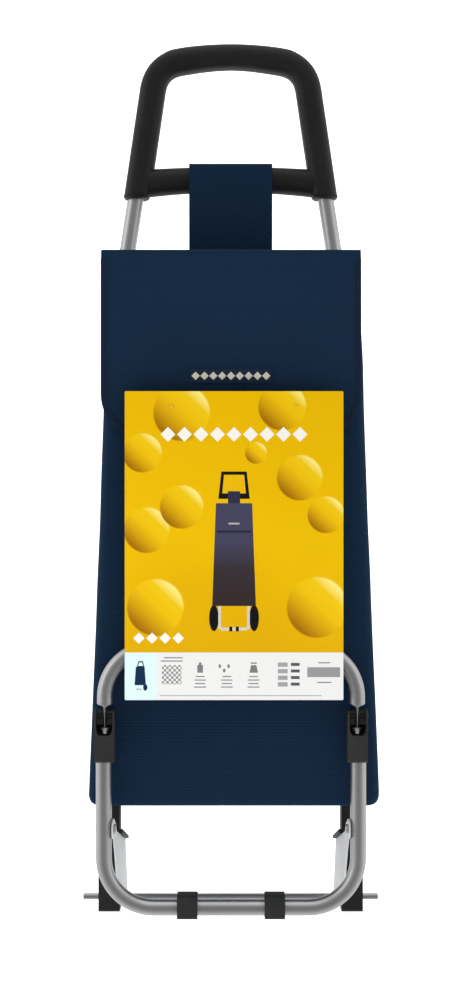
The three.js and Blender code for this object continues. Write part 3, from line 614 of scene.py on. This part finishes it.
def rounded_rectangle(half_x, y_low, y_high, radius, flat_x, flat_y, arc):
    """A closed loop, anticlockwise from above, of a rectangle with rounded corners."""
    points = []
    corners = [(half_x, y_high), (-half_x, y_high), (-half_x, y_low), (half_x, y_low)]

    def on_corner(index, share):
        """The point a share of the quarter turn round a corner."""
        x, y = corners[index]
        centre = Vector((x - math.copysign(radius, x), y + (-radius if y == y_high else radius), 0))
        angle = math.radians(90 * index + 90 * share)
        return centre + Vector((math.cos(angle), math.sin(angle), 0)) * radius

    points = []
    for index, count in enumerate((flat_x, flat_y, flat_x, flat_y)):
        points += [on_corner(index, step / arc) for step in range(arc + 1)]
        begin, goal = points[-1], on_corner((index + 1) % 4, 0)
        points += [begin.lerp(goal, step / count) for step in range(1, count)]
    return points


def ripple(point, size, amount, seed):
    place = Vector((point.x / size, point.y / size, point.z / size * 0.6)) + Vector((seed, 0, 0))
    return noise.noise(place) * amount


def bag_shell():
    """Rings of a rounded rectangle from the bottom, over its edge and up to the open top."""
    y_low, y_high = bag_low[1], bag_high[1]
    bottom, top = bag_low[2], bag_high[2]
    across, along, upward = BAG_BOTTOM_EDGE
    rows = [(bottom, share * BAG_BOTTOM_FLAT, share * BAG_BOTTOM_FLAT)
            for share in (1.0, 0.75, 0.5, 0.3)]
    rows += [(bottom + upward * (1 - math.cos(angle)), across * (1 - math.sin(angle)),
              along * (1 - math.sin(angle))) for angle in np.linspace(0, math.pi / 2, 7)]
    wall_start = len(rows)
    rows += [(z, 0.0, 0.0) for z in np.linspace(bottom + BAG_WALL_START, top, 72)]
    loops = []
    for z, inset_x, inset_y in rows:
        half = bag_half_width(max(z, bottom)) - inset_x
        lean = bag_lean(z)
        loop = rounded_rectangle(half, y_low + inset_y, y_high - inset_y, BAG_EDGE, 44, 26, 5)
        loops.append([Vector((p.x + lean, p.y, z)) for p in loop])
    middle_y = (y_low + y_high) / 2
    for loop in loops[wall_start:]:
        for p in loop:
            out = Vector((p.x, p.y - middle_y, 0)).normalized()
            rise = (p.z - bottom) / (top - bottom)
            sag = math.sin(math.pi * min(1, rise * 1.05)) ** 0.5
            side_wall = min(1.0, max(0.0, abs(p.x) - bag_half_width(p.z) + 4 * MM) / (3 * MM))
            along_side = (p.y - middle_y) / (y_high - y_low)
            pull = -2.0 * MM * side_wall * sag * math.cos(along_side * math.pi)
            move = ripple(p, 0.11, 0.9 * MM, 3) + ripple(p, 0.035, 0.25 * MM, 9)
            inward = -abs(move) if abs(out.x) < 0.7 or side_wall == 0 else move
            p += out * inward * sag + Vector((math.copysign(pull, p.x), 0, 0))
    vertices, faces = loft(loops, closed_ends=False)
    faces.append(tuple(reversed(range(len(loops[0])))))
    piece = new_piece("bag_fabric", vertices, faces, NAVY)
    solid = piece.modifiers.new("wall", "SOLIDIFY")
    solid.thickness = BAG_WALL
    solid.offset = -1
    solid.use_even_offset = True
    apply_modifiers(piece)
    sharpen(piece, 60)
    return piece


bag = bag_shell()
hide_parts("bag_body", "bag_fold_in_panel")
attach(bag, "frame")


# ---- flap
FLAP_THICKNESS = flap_high[1] - flap_low[1]
FLAP_CORNER = 45 * MM
FLAP_FOLD = 5 * MM
flap_half = (flap_high[0] - flap_low[0]) / 2
flap_face_y = flap_low[1]
flap_top_z = flap_high[2]


def flap_width_at(z):
    """Half the flap's width at a height: square at the top, round at the lower corners."""
    over = flap_low[2] + FLAP_CORNER - z
    if over <= 0:
        return flap_half
    return flap_half - FLAP_CORNER + math.sqrt(max(0.0, FLAP_CORNER ** 2 - over ** 2))


def flap_rows():
    """Points (y, z) of the flap's outer face, from the bag's back edge, over the fold and down."""
    rows = [(y, flap_top_z) for y in np.linspace(lid_high[1], flap_face_y + FLAP_FOLD, 26)]
    for angle in np.linspace(0, math.pi / 2, 7)[1:]:
        rows.append((flap_face_y + FLAP_FOLD * (1 - math.sin(angle)),
                     flap_top_z - FLAP_FOLD * (1 - math.cos(angle))))
    corner_top = flap_low[2] + FLAP_CORNER
    rows += [(flap_face_y, z) for z in np.linspace(flap_top_z - FLAP_FOLD, corner_top, 30)[1:]]
    rows += [(flap_face_y, corner_top - FLAP_CORNER * math.sin(angle))
             for angle in np.linspace(0, math.pi / 2, 16)[1:]]
    return rows


def flap_surface():
    columns = 60
    vertices = []
    for y, z in flap_rows():
        half = flap_width_at(z)
        for column in range(columns + 1):
            x = half * (2 * column / columns - 1)
            point = Vector((x, y, z))
            fade = min(1.0, (flap_half - abs(x)) / (30 * MM))
            if y <= flap_face_y + 0.0001:
                point.y += abs(ripple(point, 0.09, 0.7 * MM, 21)) * fade
            elif z >= flap_top_z - 0.0001:
                point.z -= abs(ripple(point, 0.08, 0.6 * MM, 33)) * fade
            vertices.append(point)
    across = columns + 1
    starts = [row * across + c for row in range(len(flap_rows()) - 1) for c in range(columns)]
    faces = [(i, i + 1, i + across + 1, i + across) for i in starts]
    piece = new_piece("flap_fabric", vertices, faces, NAVY)
    bpy.context.view_layer.update()
    if piece.data.polygons[len(faces) - 1].normal.y > 0:
        piece.data.flip_normals()
    solid = piece.modifiers.new("thickness", "SOLIDIFY")
    solid.thickness = FLAP_THICKNESS * 0.9
    solid.offset = -1
    apply_modifiers(piece)
    sharpen(piece, 60)
    return piece


flap = flap_surface()
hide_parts("flap_top_panel", "flap_front_panel")
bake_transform(flap)


def perimeter_route(inset, top_z):
    """The flap's hanging edge as points (x, z): down one side, along the bottom and up."""
    half, low, corner = flap_half - inset, flap_low[2] + inset, FLAP_CORNER - inset
    left = [(-half, z) for z in np.linspace(top_z, low + corner, 40)]
    left += [(corner - half - corner * math.cos(a), low + corner - corner * math.sin(a))
             for a in np.linspace(0, math.pi / 2, 14)[1:]]
    bottom = [(x, low) for x in np.linspace(corner - half, half - corner, 40)[1:-1]]
    return left + bottom + [(-x, z) for x, z in reversed(left)]


def tape_piece(name, route, middle_y, wide, thick):
    """A folded tape: a flat rounded section swept along points (x, z) in an upright plane."""
    loops = []
    last = len(route) - 1
    for index, (x, z) in enumerate(route):
        before, after = route[max(index - 1, 0)], route[min(index + 1, last)]
        along = Vector((after[0] - before[0], 0, after[1] - before[1])).normalized()
        out = Vector((along.z, 0, -along.x))
        loop = []
        for step in range(16):
            angle = 2 * math.pi * step / 16
            u, v = math.cos(angle), math.sin(angle)
            u, v = math.copysign(abs(u) ** 0.5, u), math.copysign(abs(v) ** 0.5, v)
            loop.append(Vector((x, middle_y + v * thick / 2, z)) + out * u * wide / 2)
        loops.append(loop)
    piece = new_piece(name, *loft(loops), NAVY_BINDING)
    sharpen(piece, 60)
    return piece


BINDING_WIDTH = 7 * MM
binding = tape_piece("flap_edge_binding",
                     perimeter_route(BINDING_WIDTH / 2 - 0.4 * MM, flap_top_z - 9 * MM),
                     (flap_low[1] + flap_high[1]) / 2, BINDING_WIDTH, FLAP_THICKNESS + 0.5 * MM)
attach(binding, "flap_front")


def bag_back_route(inset):
    """The edge of the bag's back as points (x, z): down one side, along the bottom and up."""
    top, low, corner = bag_high[2] - 6 * MM, bag_low[2] + inset, 12 * MM
    left = [(-bag_half_width(z) + bag_lean(z) + inset, z)
            for z in np.linspace(top, low + corner, 40)]
    turn_x, turn_z = bag_lean(low) - bag_half_width(low) + inset + corner, low + corner
    left += [(turn_x - corner * math.cos(a), turn_z - corner * math.sin(a))
             for a in np.linspace(0, math.pi / 2, 8)[1:]]
    right = [(2 * bag_lean(z) - x, z) for x, z in reversed(left)]
    return left + right


back_binding = tape_piece("bag_back_binding", bag_back_route(2.2 * MM), bag_high[1] - 0.6 * MM,
                          6 * MM, 1.6 * MM)
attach(back_binding, "frame")


# ---- strap
STRAP_THICKNESS = 1.6 * MM


def extruded_section(name, outline, hole, xs):
    """A closed outline in (y, z), with a hole, made wide in X through the stations xs."""
    work = bmesh.new()
    grids = [[[work.verts.new((x, y, z)) for y, z in loop] for x in xs]
             for loop in (outline, hole)]
    for grid in grids:
        for row, following in zip(grid, grid[1:]):
            for i in range(len(row)):
                j = (i + 1) % len(row)
                work.faces.new((row[i], row[j], following[j], following[i]))
    for end in (0, -1):
        edges = []
        for grid in grids:
            ring = grid[end]
            edges += [work.edges.get(pair) for pair in zip(ring, ring[1:] + ring[:1])]
        bmesh.ops.triangle_fill(work, edges=edges, use_beauty=True)
    return piece_from(work, name, NAVY, 50)


def arc(centre_y, centre_z, radius, start, end, count):
    return [(centre_y + radius * math.cos(a), centre_z + radius * math.sin(a))
            for a in np.radians(np.linspace(start, end, count))]


def strap_piece():
    """Front and back layers from the bag's back edge, over the crossbar, and the sewn tail."""
    back, front = strap_high[1], strap_low[1]
    top = strap_high[2]
    bar_low = HANDLE_FOOT_Z + 5 * MM
    tail_y = bag_high[1] + 0.3 * MM
    tail_z = 712 * MM
    turn = 8 * MM
    outline = [(tail_y + 2 * STRAP_THICKNESS, strap_low[2]), (tail_y + 2 * STRAP_THICKNESS, tail_z),
               (back, bar_low)]
    outline += arc(back - turn, top - turn, turn, 0, 90, 8)
    outline += arc(front + turn, top - turn, turn, 90, 180, 8)
    outline += [(front, bar_low), (tail_y, tail_z), (tail_y, strap_low[2])]
    t = STRAP_THICKNESS
    hole = [(back - t, bar_low)]
    hole += arc(back - turn, top - turn, turn - t, 0, 90, 8)
    hole += arc(front + turn, top - turn, turn - t, 90, 180, 8)
    hole += [(front + t, bar_low), (tail_y + t, tail_z + 10 * MM)]
    xs = np.linspace(strap_low[0], strap_high[0], 13)
    return extruded_section("strap_fabric", outline, hole, xs)


strap = strap_piece()
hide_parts("hanging_strap")
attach(strap, "frame")


def stitch_line(name, points, length, radius, gap):
    """Short lengths of thread laid along a line of points, all in one mesh."""
    vertices, faces = [], []
    points = [Vector(p) for p in points]
    spent, due = 0.0, 0.0
    for a, b in zip(points, points[1:]):
        along = b - a
        size = along.length
        while due < spent + size:
            centre = a + along * ((due - spent) / size)
            direction = along.normalized()
            side = direction.cross(Vector((0, 1, 0))).normalized()
            rise = direction.cross(side).normalized()
            around = [side * math.cos(angle) + rise * math.sin(angle)
                      for angle in (2 * math.pi * step / 6 for step in range(6))]
            step = direction * length
            add_loft(vertices, faces,
                     [[centre + step * share + spoke * radius * fat for spoke in around]
                      for share, fat in ((-0.5, 0.35), (-0.3, 1), (0.3, 1), (0.5, 0.35))])
            due += length + gap
        spent += size
    return new_piece(name, vertices, faces, THREAD)


flap_stitches = stitch_line(
    "flap_edge_stitches",
    [(x, flap_low[1] - 0.25 * MM, z) for x, z in perimeter_route(6.2 * MM, flap_top_z - 10 * MM)],
    2.6 * MM, 0.28 * MM, 1.2 * MM)
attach(flap_stitches, "flap_front")


# ---- thin slabs
SLAB_CORNER_STEPS = 8


def rounded_slab(name, low, high, radius, edge, material):
    """A thin upright slab with round corners seen from the front and softened front edges."""
    reach_x, reach_z = (high[0] - low[0]) / 2 - radius, (high[2] - low[2]) / 2 - radius
    centre_x, centre_z = (high[0] + low[0]) / 2, (high[2] + low[2]) / 2

    def ring(inset, y):
        loop = []
        for sx, sz, start in ((1, 1, 0), (-1, 1, 90), (-1, -1, 180), (1, -1, 270)):
            for step in range(SLAB_CORNER_STEPS + 1):
                angle = math.radians(start + 90 * step / SLAB_CORNER_STEPS)
                loop.append(Vector((centre_x + sx * reach_x + (radius - inset) * math.cos(angle), y,
                                    centre_z + sz * reach_z + (radius - inset) * math.sin(angle))))
        return loop

    loops = [ring(edge, high[1]), ring(0, high[1] - edge), ring(0, low[1] + edge),
             ring(edge * 0.3, low[1] + edge * 0.3), ring(edge, low[1])]
    piece = new_piece(name, *loft(loops), material)
    sharpen(piece, 40)
    return piece


def above(tree, value, limit):
    return math_node(tree, "GREATER_THAN", value, limit)


def below(tree, value, limit):
    return math_node(tree, "LESS_THAN", value, limit)


def diamond_row(tree, u, v, start, count, pitch, middle_v, reach):
    """A mask of count plain diamonds in a row: the first is centred half a pitch after start."""
    place = times(tree, minus(tree, u, start), 1 / pitch)
    within = minus(tree, math_node(tree, "FRACT", place), 0.5)
    du = times(tree, math_node(tree, "ABSOLUTE", within), pitch)
    dv = math_node(tree, "ABSOLUTE", minus(tree, v, middle_v))
    return times(tree, below(tree, plus(tree, du, dv), reach),
                 above(tree, place, 0), below(tree, place, count))


def mix_colour(tree, factor, first, second):
    mix = node(tree, "ShaderNodeMix")
    mix.data_type = "RGBA"
    link(tree, factor, mix.inputs["Factor"])
    for socket, value in ((mix.inputs[6], first), (mix.inputs[7], second)):
        if isinstance(value, tuple):
            socket.default_value = (*value, 1)
        else:
            link(tree, value, socket)
    return mix.outputs[2]


# ---- woven label, with no lettering
def label_material():
    """Navy woven tape with a plain row of beige diamonds."""
    material, tree, shader = new_material("woven_label")
    x, _, z = separate_position(tree)
    weave = times(tree, wave(tree, x, 0.5 * MM), wave(tree, z, 0.6 * MM))
    shade = scaled(tree, weave, 0.2, 0.5)
    tape = colour_ramp(tree, shade, [(0.2, (0.0060, 0.0165, 0.042)),
                                     (0.8, (0.0095, 0.0235, 0.055))])
    beige = colour_ramp(tree, shade, [(0.2, (0.58, 0.53, 0.42)), (0.8, (0.76, 0.71, 0.58))])
    count = 9
    pitch = (label_high[0] - label_low[0] - 2 * MM) / count
    mask = diamond_row(tree, x, z, label_low[0] + MM, count, pitch,
                       (label_low[2] + label_high[2]) / 2, 4.2 * MM)
    link(tree, mix_colour(tree, mask, tape, beige), shader.inputs["Base Color"])
    set_inputs(shader, {"Roughness": 0.8, "Specular IOR Level": 0.15})
    add_bump(tree, shader, weave, 0.4, 0.2 * MM)
    return material


label_low, label_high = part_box("flap_label")
label = rounded_slab("flap_label_woven", label_low, label_high, 1.5 * MM, 0.25 * MM,
                     label_material())
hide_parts("flap_label")
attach(label, "flap_front")


# ---- hinge tape: joins the flap to the top of the bag's back
TAPE_END_GAP = 3 * MM                # from each end of the lid's edge
TAPE_DROP = 10 * MM                  # how far it reaches down the bag's back
hinge_tape = rounded_slab(
    "flap_hinge_tape",
    Vector((lid_low[0] + TAPE_END_GAP, lid_high[1] + 0.02 * MM, lid_low[2] - TAPE_DROP)),
    Vector((lid_high[0] - TAPE_END_GAP, lid_high[1] + 0.6 * MM, lid_high[2] + 0.2 * MM)),
    0.5 * MM, 0.1 * MM, NAVY_BINDING)
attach(hinge_tape, "frame")


# ---- hang card
CARD_STRIP = (card_high[2] - card_low[2]) * 0.154     # height of the white strip at the bottom
# Plain round balls: (x, z, radius) as shares of the card's width and height from its lower left
BALLS = [(0.10, 0.55, 0.105), (0.26, 0.625, 0.10), (0.80, 0.72, 0.105), (0.92, 0.60, 0.085),
         (0.14, 0.30, 0.13), (0.88, 0.30, 0.14), (0.26, 0.93, 0.13), (0.72, 0.95, 0.11),
         (0.08, 0.80, 0.09), (0.60, 0.80, 0.05)]


class Print:
    """Flat printed shapes, laid one over another, in shares of the card's width."""

    def __init__(self, tree, u, v, colour):
        self.tree, self.u, self.v, self.colour = tree, u, v, colour

    def paint(self, mask, colour):
        self.colour = mix_colour(self.tree, mask, self.colour, colour)

    def within(self, v0, v1, *masks):
        """A mask of the rows from v0 to v1, times any other masks."""
        return times(self.tree, *masks, above(self.tree, self.v, v0), below(self.tree, self.v, v1))

    def inside(self, u0, u1, v0, v1):
        return self.within(v0, v1, above(self.tree, self.u, u0), below(self.tree, self.u, u1))

    def box(self, u0, u1, v0, v1, colour):
        self.paint(self.inside(u0, u1, v0, v1), colour)

    def taper(self, middle, half_low, half_high, v0, v1, colour):
        """An upright shape whose half width runs from half_low at v0 to half_high at v1."""
        tree = self.tree
        offset = math_node(tree, "ABSOLUTE", minus(tree, self.u, middle))
        slope = (half_high - half_low) / (v1 - v0)
        limit = scaled(tree, self.v, slope, half_low - slope * v0)
        self.paint(self.within(v0, v1, below(tree, offset, limit)), colour)

    def square_distance(self, u, v, radius_u, radius_v):
        tree = self.tree
        du = times(tree, minus(tree, self.u, u), 1 / radius_u)
        dv = times(tree, minus(tree, self.v, v), 1 / radius_v)
        return du, dv, plus(tree, times(tree, du, du), times(tree, dv, dv))

    def oval(self, u, v, radius_u, radius_v, colour):
        self.paint(below(self.tree, self.square_distance(u, v, radius_u, radius_v)[2], 1), colour)

    def ball(self, u, v, radius):
        tree = self.tree
        du, dv, total = self.square_distance(u, v, radius, radius)
        mask = node(tree, "ShaderNodeMapRange")
        set_inputs(mask, {"From Min": 1.03, "From Max": 0.93})     # a softened rim
        link(tree, total, mask.inputs["Value"])
        light = plus(tree, scaled(tree, du, 0.34, 0.52), times(tree, dv, 0.36))
        shade = colour_ramp(tree, light, [(0.08, (0.36, 0.15, 0.001)), (0.30, (0.62, 0.33, 0.002)),
                                          (0.55, (0.82, 0.50, 0.003)), (0.80, (0.84, 0.55, 0.006)),
                                          (0.97, (0.93, 0.78, 0.20))])
        self.paint(mask.outputs["Result"], shade)


def print_trolley(art):
    """A small plain picture of a trolley: wheels, foot, tapered bag with its flap, and handle."""
    black, bright, gap = (0.008, 0.008, 0.009), (0.62, 0.60, 0.52), (0.80, 0.47, 0.003)
    for middle in (0.408, 0.592):
        art.oval(middle, 0.375, 0.022, 0.060, black)
    art.box(0.44, 0.56, 0.318, 0.332, bright)
    for middle in (0.434, 0.566):
        art.box(middle - 0.006, middle + 0.006, 0.325, 0.44, bright)
    for low in (0.478, 0.508):
        art.box(low, low + 0.014, 0.314, 0.336, black)
    art.taper(0.5, 0.072, 0.058, 0.92, 1.045, black)
    art.taper(0.5, 0.054, 0.046, 0.945, 1.03, gap)
    art.box(0.472, 0.528, 0.89, 0.955, (0.030, 0.030, 0.062))
    rise = scaled(art.tree, art.v, 2.0, -0.85)
    cloth = colour_ramp(art.tree, rise, [(0.0, (0.034, 0.022, 0.022)),
                                                (0.35, (0.040, 0.030, 0.036)),
                                                (0.6, (0.058, 0.056, 0.105))])
    art.taper(0.5, 0.100, 0.083, 0.43, 0.90, cloth)
    art.taper(0.5, 0.080, 0.078, 0.765, 0.775, (0.022, 0.022, 0.04))
    art.box(0.475, 0.525, 0.803, 0.811, (0.45, 0.43, 0.40))


def print_strip(art, strip):
    """The white strip: a tiny trolley on a pale box, a chequer, and bars for small print."""
    navy, grey = (0.006, 0.028, 0.075), (0.20, 0.20, 0.20)
    art.box(-1, 2, -1, strip, (0.80, 0.80, 0.79))
    art.box(-1, 0.144, -1, strip, (0.70, 0.88, 0.91))
    art.taper(0.073, 0.017, 0.010, 0.152, 0.178, navy)
    art.taper(0.073, 0.012, 0.006, 0.156, 0.172, (0.70, 0.88, 0.91))
    art.taper(0.071, 0.026, 0.020, 0.068, 0.152, navy)
    art.oval(0.094, 0.058, 0.010, 0.015, navy)
    art.box(0.052, 0.078, 0.047, 0.052, (0.35, 0.35, 0.35))
    tree = art.tree
    chequer = node(tree, "ShaderNodeTexChecker")
    chequer.inputs["Scale"].default_value = 0.42 / MM
    link(tree, position(tree), chequer.inputs["Vector"])
    art.paint(times(tree, art.inside(0.17, 0.26, 0.072, 0.16),
                           times(tree, chequer.outputs["Fac"], 0.9)), grey)
    for box in ((0.165, 0.265, 0.176, 0.181), (0.180, 0.265, 0.191, 0.196)):
        art.box(*box, grey)
    art.taper(0.345, 0.013, 0.013, 0.125, 0.160, grey)
    art.taper(0.345, 0.006, 0.006, 0.160, 0.172, grey)
    for offset in (-0.02, 0.0, 0.02):
        art.oval(0.455 + offset, 0.135 + abs(offset), 0.006, 0.009, grey)
    art.taper(0.590, 0.020, 0.012, 0.125, 0.160, grey)
    art.box(0.576, 0.604, 0.166, 0.172, grey)
    for column in range(3):
        middle = 0.345 + 0.122 * column
        for row, half in enumerate((0.020, 0.026, 0.023, 0.027)):
            low = 0.105 - 0.016 * row
            art.box(middle - half, middle + half, low, low + 0.005, grey)
    for row in range(4):
        low = 0.062 + 0.030 * row
        art.box(0.700, 0.745, low, low + 0.020, (0.35, 0.35, 0.35))
        art.box(0.760, 0.800, low + 0.004, low + 0.018, (0.10, 0.10, 0.10))
    art.box(0.835, 0.985, 0.105, 0.150, (0.30, 0.30, 0.30))
    for box in ((0.885, 0.940, 0.168, 0.173), (0.880, 0.945, 0.078, 0.083)):
        art.box(*box, grey)
    art.box(0.160, 0.900, 0.018, 0.023, (0.45, 0.45, 0.45))


def card_material():
    """A print with no lettering: plain balls and a trolley on yellow, over a white strip."""
    material, tree, shader = new_material("printed_card")
    x, _, z = separate_position(tree)
    width = card_high[0] - card_low[0]
    tall = (card_high[2] - card_low[2]) / width
    u = times(tree, minus(tree, x, card_low[0]), 1 / width)
    v = times(tree, minus(tree, z, card_low[2]), 1 / width)
    base = plus(tree, times(tree, v, 0.55 / tall), times(tree, noise_value(tree, 7, 2), 0.35))
    ground = colour_ramp(tree, base, [(0.2, (0.68, 0.37, 0.0)), (0.45, (0.82, 0.49, 0.0)),
                                      (0.85, (0.78, 0.45, 0.0))])
    art = Print(tree, u, v, ground)
    for x, z, radius in BALLS:
        art.ball(x, z * tall, radius)
    print_trolley(art)
    white = (0.90, 0.88, 0.80)
    art.paint(diamond_row(tree, u, v, 0.16, 9, 0.0755, 1.215, 0.034), white)
    art.paint(diamond_row(tree, u, v, 0.035, 4, 0.060, 0.283, 0.026), white)
    print_strip(art, CARD_STRIP / width)
    link(tree, art.colour, shader.inputs["Base Color"])
    fibre = noise_value(tree, 500, 2)
    link(tree, scaled(tree, fibre, 0.1, 0.5), shader.inputs["Roughness"])
    shader.inputs["Specular IOR Level"].default_value = 0.06
    add_bump(tree, shader, fibre, 0.05, 0.1 * MM)
    return material


card = rounded_slab("hang_card_printed", card_low, card_high, 1.2 * MM, 0.15 * MM, card_material())
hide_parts("hang_card")
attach(card, "flap_front")


# ---- floor, light and camera
def emitter(name, size_x, size_y, place, aim, power):
    data = bpy.data.lights.new(name, "AREA")
    data.shape = "RECTANGLE"
    data.size, data.size_y = size_x, size_y
    data.energy = power
    lamp = add_object(name, data)
    lamp.location = place
    lamp.rotation_euler = (Vector(aim) - Vector(place)).to_track_quat("-Z", "Y").to_euler()


def studio():
    """A plain white floor that sweeps up behind the object into a white wall."""
    depth, reach, width, bend = 3.2, 6.0, 9.0, 1.2
    path = [(-reach, 0.0), (depth - bend, 0.0)]
    path += [(depth - bend + bend * math.sin(a), bend - bend * math.cos(a))
             for a in np.linspace(0, math.pi / 2, 16)[1:]]
    path += [(depth, 5.0)]
    vertices = [(x, y, z) for y, z in path for x in (-width, width)]
    faces = [(2 * i, 2 * i + 1, 2 * i + 3, 2 * i + 2) for i in range(len(path) - 1)]
    material, _, shader = new_material("pale_backdrop")
    set_inputs(shader, {"Base Color": (0.92, 0.92, 0.92, 1), "Roughness": 0.9,
                        "Specular IOR Level": 0.1, "Emission Color": (1, 1, 1, 1),
                        "Emission Strength": 0.8})
    mesh = bpy.data.meshes.new("studio_floor")
    mesh.from_pydata(vertices, [], faces)
    mesh.materials.append(material)
    mesh.shade_smooth()
    floor = add_object("studio_floor", mesh)
    floor.location.z = -0.5 * MM
    floor.visible_glossy = False     # the tubes mirror the world's soft gradient, not the floor


def world_light():
    """White all round, darker towards the side that the trolley faces."""
    world = bpy.data.worlds.new("studio_world")
    bpy.context.scene.world = world
    world.use_nodes = True
    tree = world.node_tree
    coords = node(tree, "ShaderNodeSeparateXYZ")
    link(tree, node(tree, "ShaderNodeTexCoord").outputs["Generated"], coords.inputs["Vector"])
    shade = colour_ramp(tree, scaled(tree, coords.outputs["Y"], 0.5, 0.5),
                        [(0.0, (0.25, 0.25, 0.25)), (0.15, (0.46, 0.46, 0.46)), (0.5, (1, 1, 1))])
    background = tree.nodes["Background"]
    link(tree, shade, background.inputs["Color"])
    background.inputs["Strength"].default_value = 0.9


bpy.context.scene.view_settings.view_transform = "Standard"
studio()
world_light()
emitter("left_softbox", 1.2, 2.4, (-2.4, -0.9, 1.2), (0, 0, 0.5), 8)
emitter("right_softbox", 1.2, 2.4, (2.4, -0.9, 1.2), (0, 0, 0.5), 4)
emitter("top_softbox", 2.0, 1.6, (0, -0.8, 2.8), (0, 0, 0.4), 6)
emitter("front_fill", 2.0, 1.0, (0, -2.6, 3.0), (0, 0, 0.5), 3)

CAMERA_DISTANCE = 1.5
camera_data = bpy.data.cameras.new("photo_camera")
camera_data.lens = 54
camera_data.sensor_width = 36
camera_data.clip_start = 0.05
camera = add_object("photo_camera", camera_data)
camera.location = (-0.003, front_y - CAMERA_DISTANCE, 0.463)
camera.rotation_euler = (math.radians(90), 0, 0)
bpy.context.scene.camera = camera
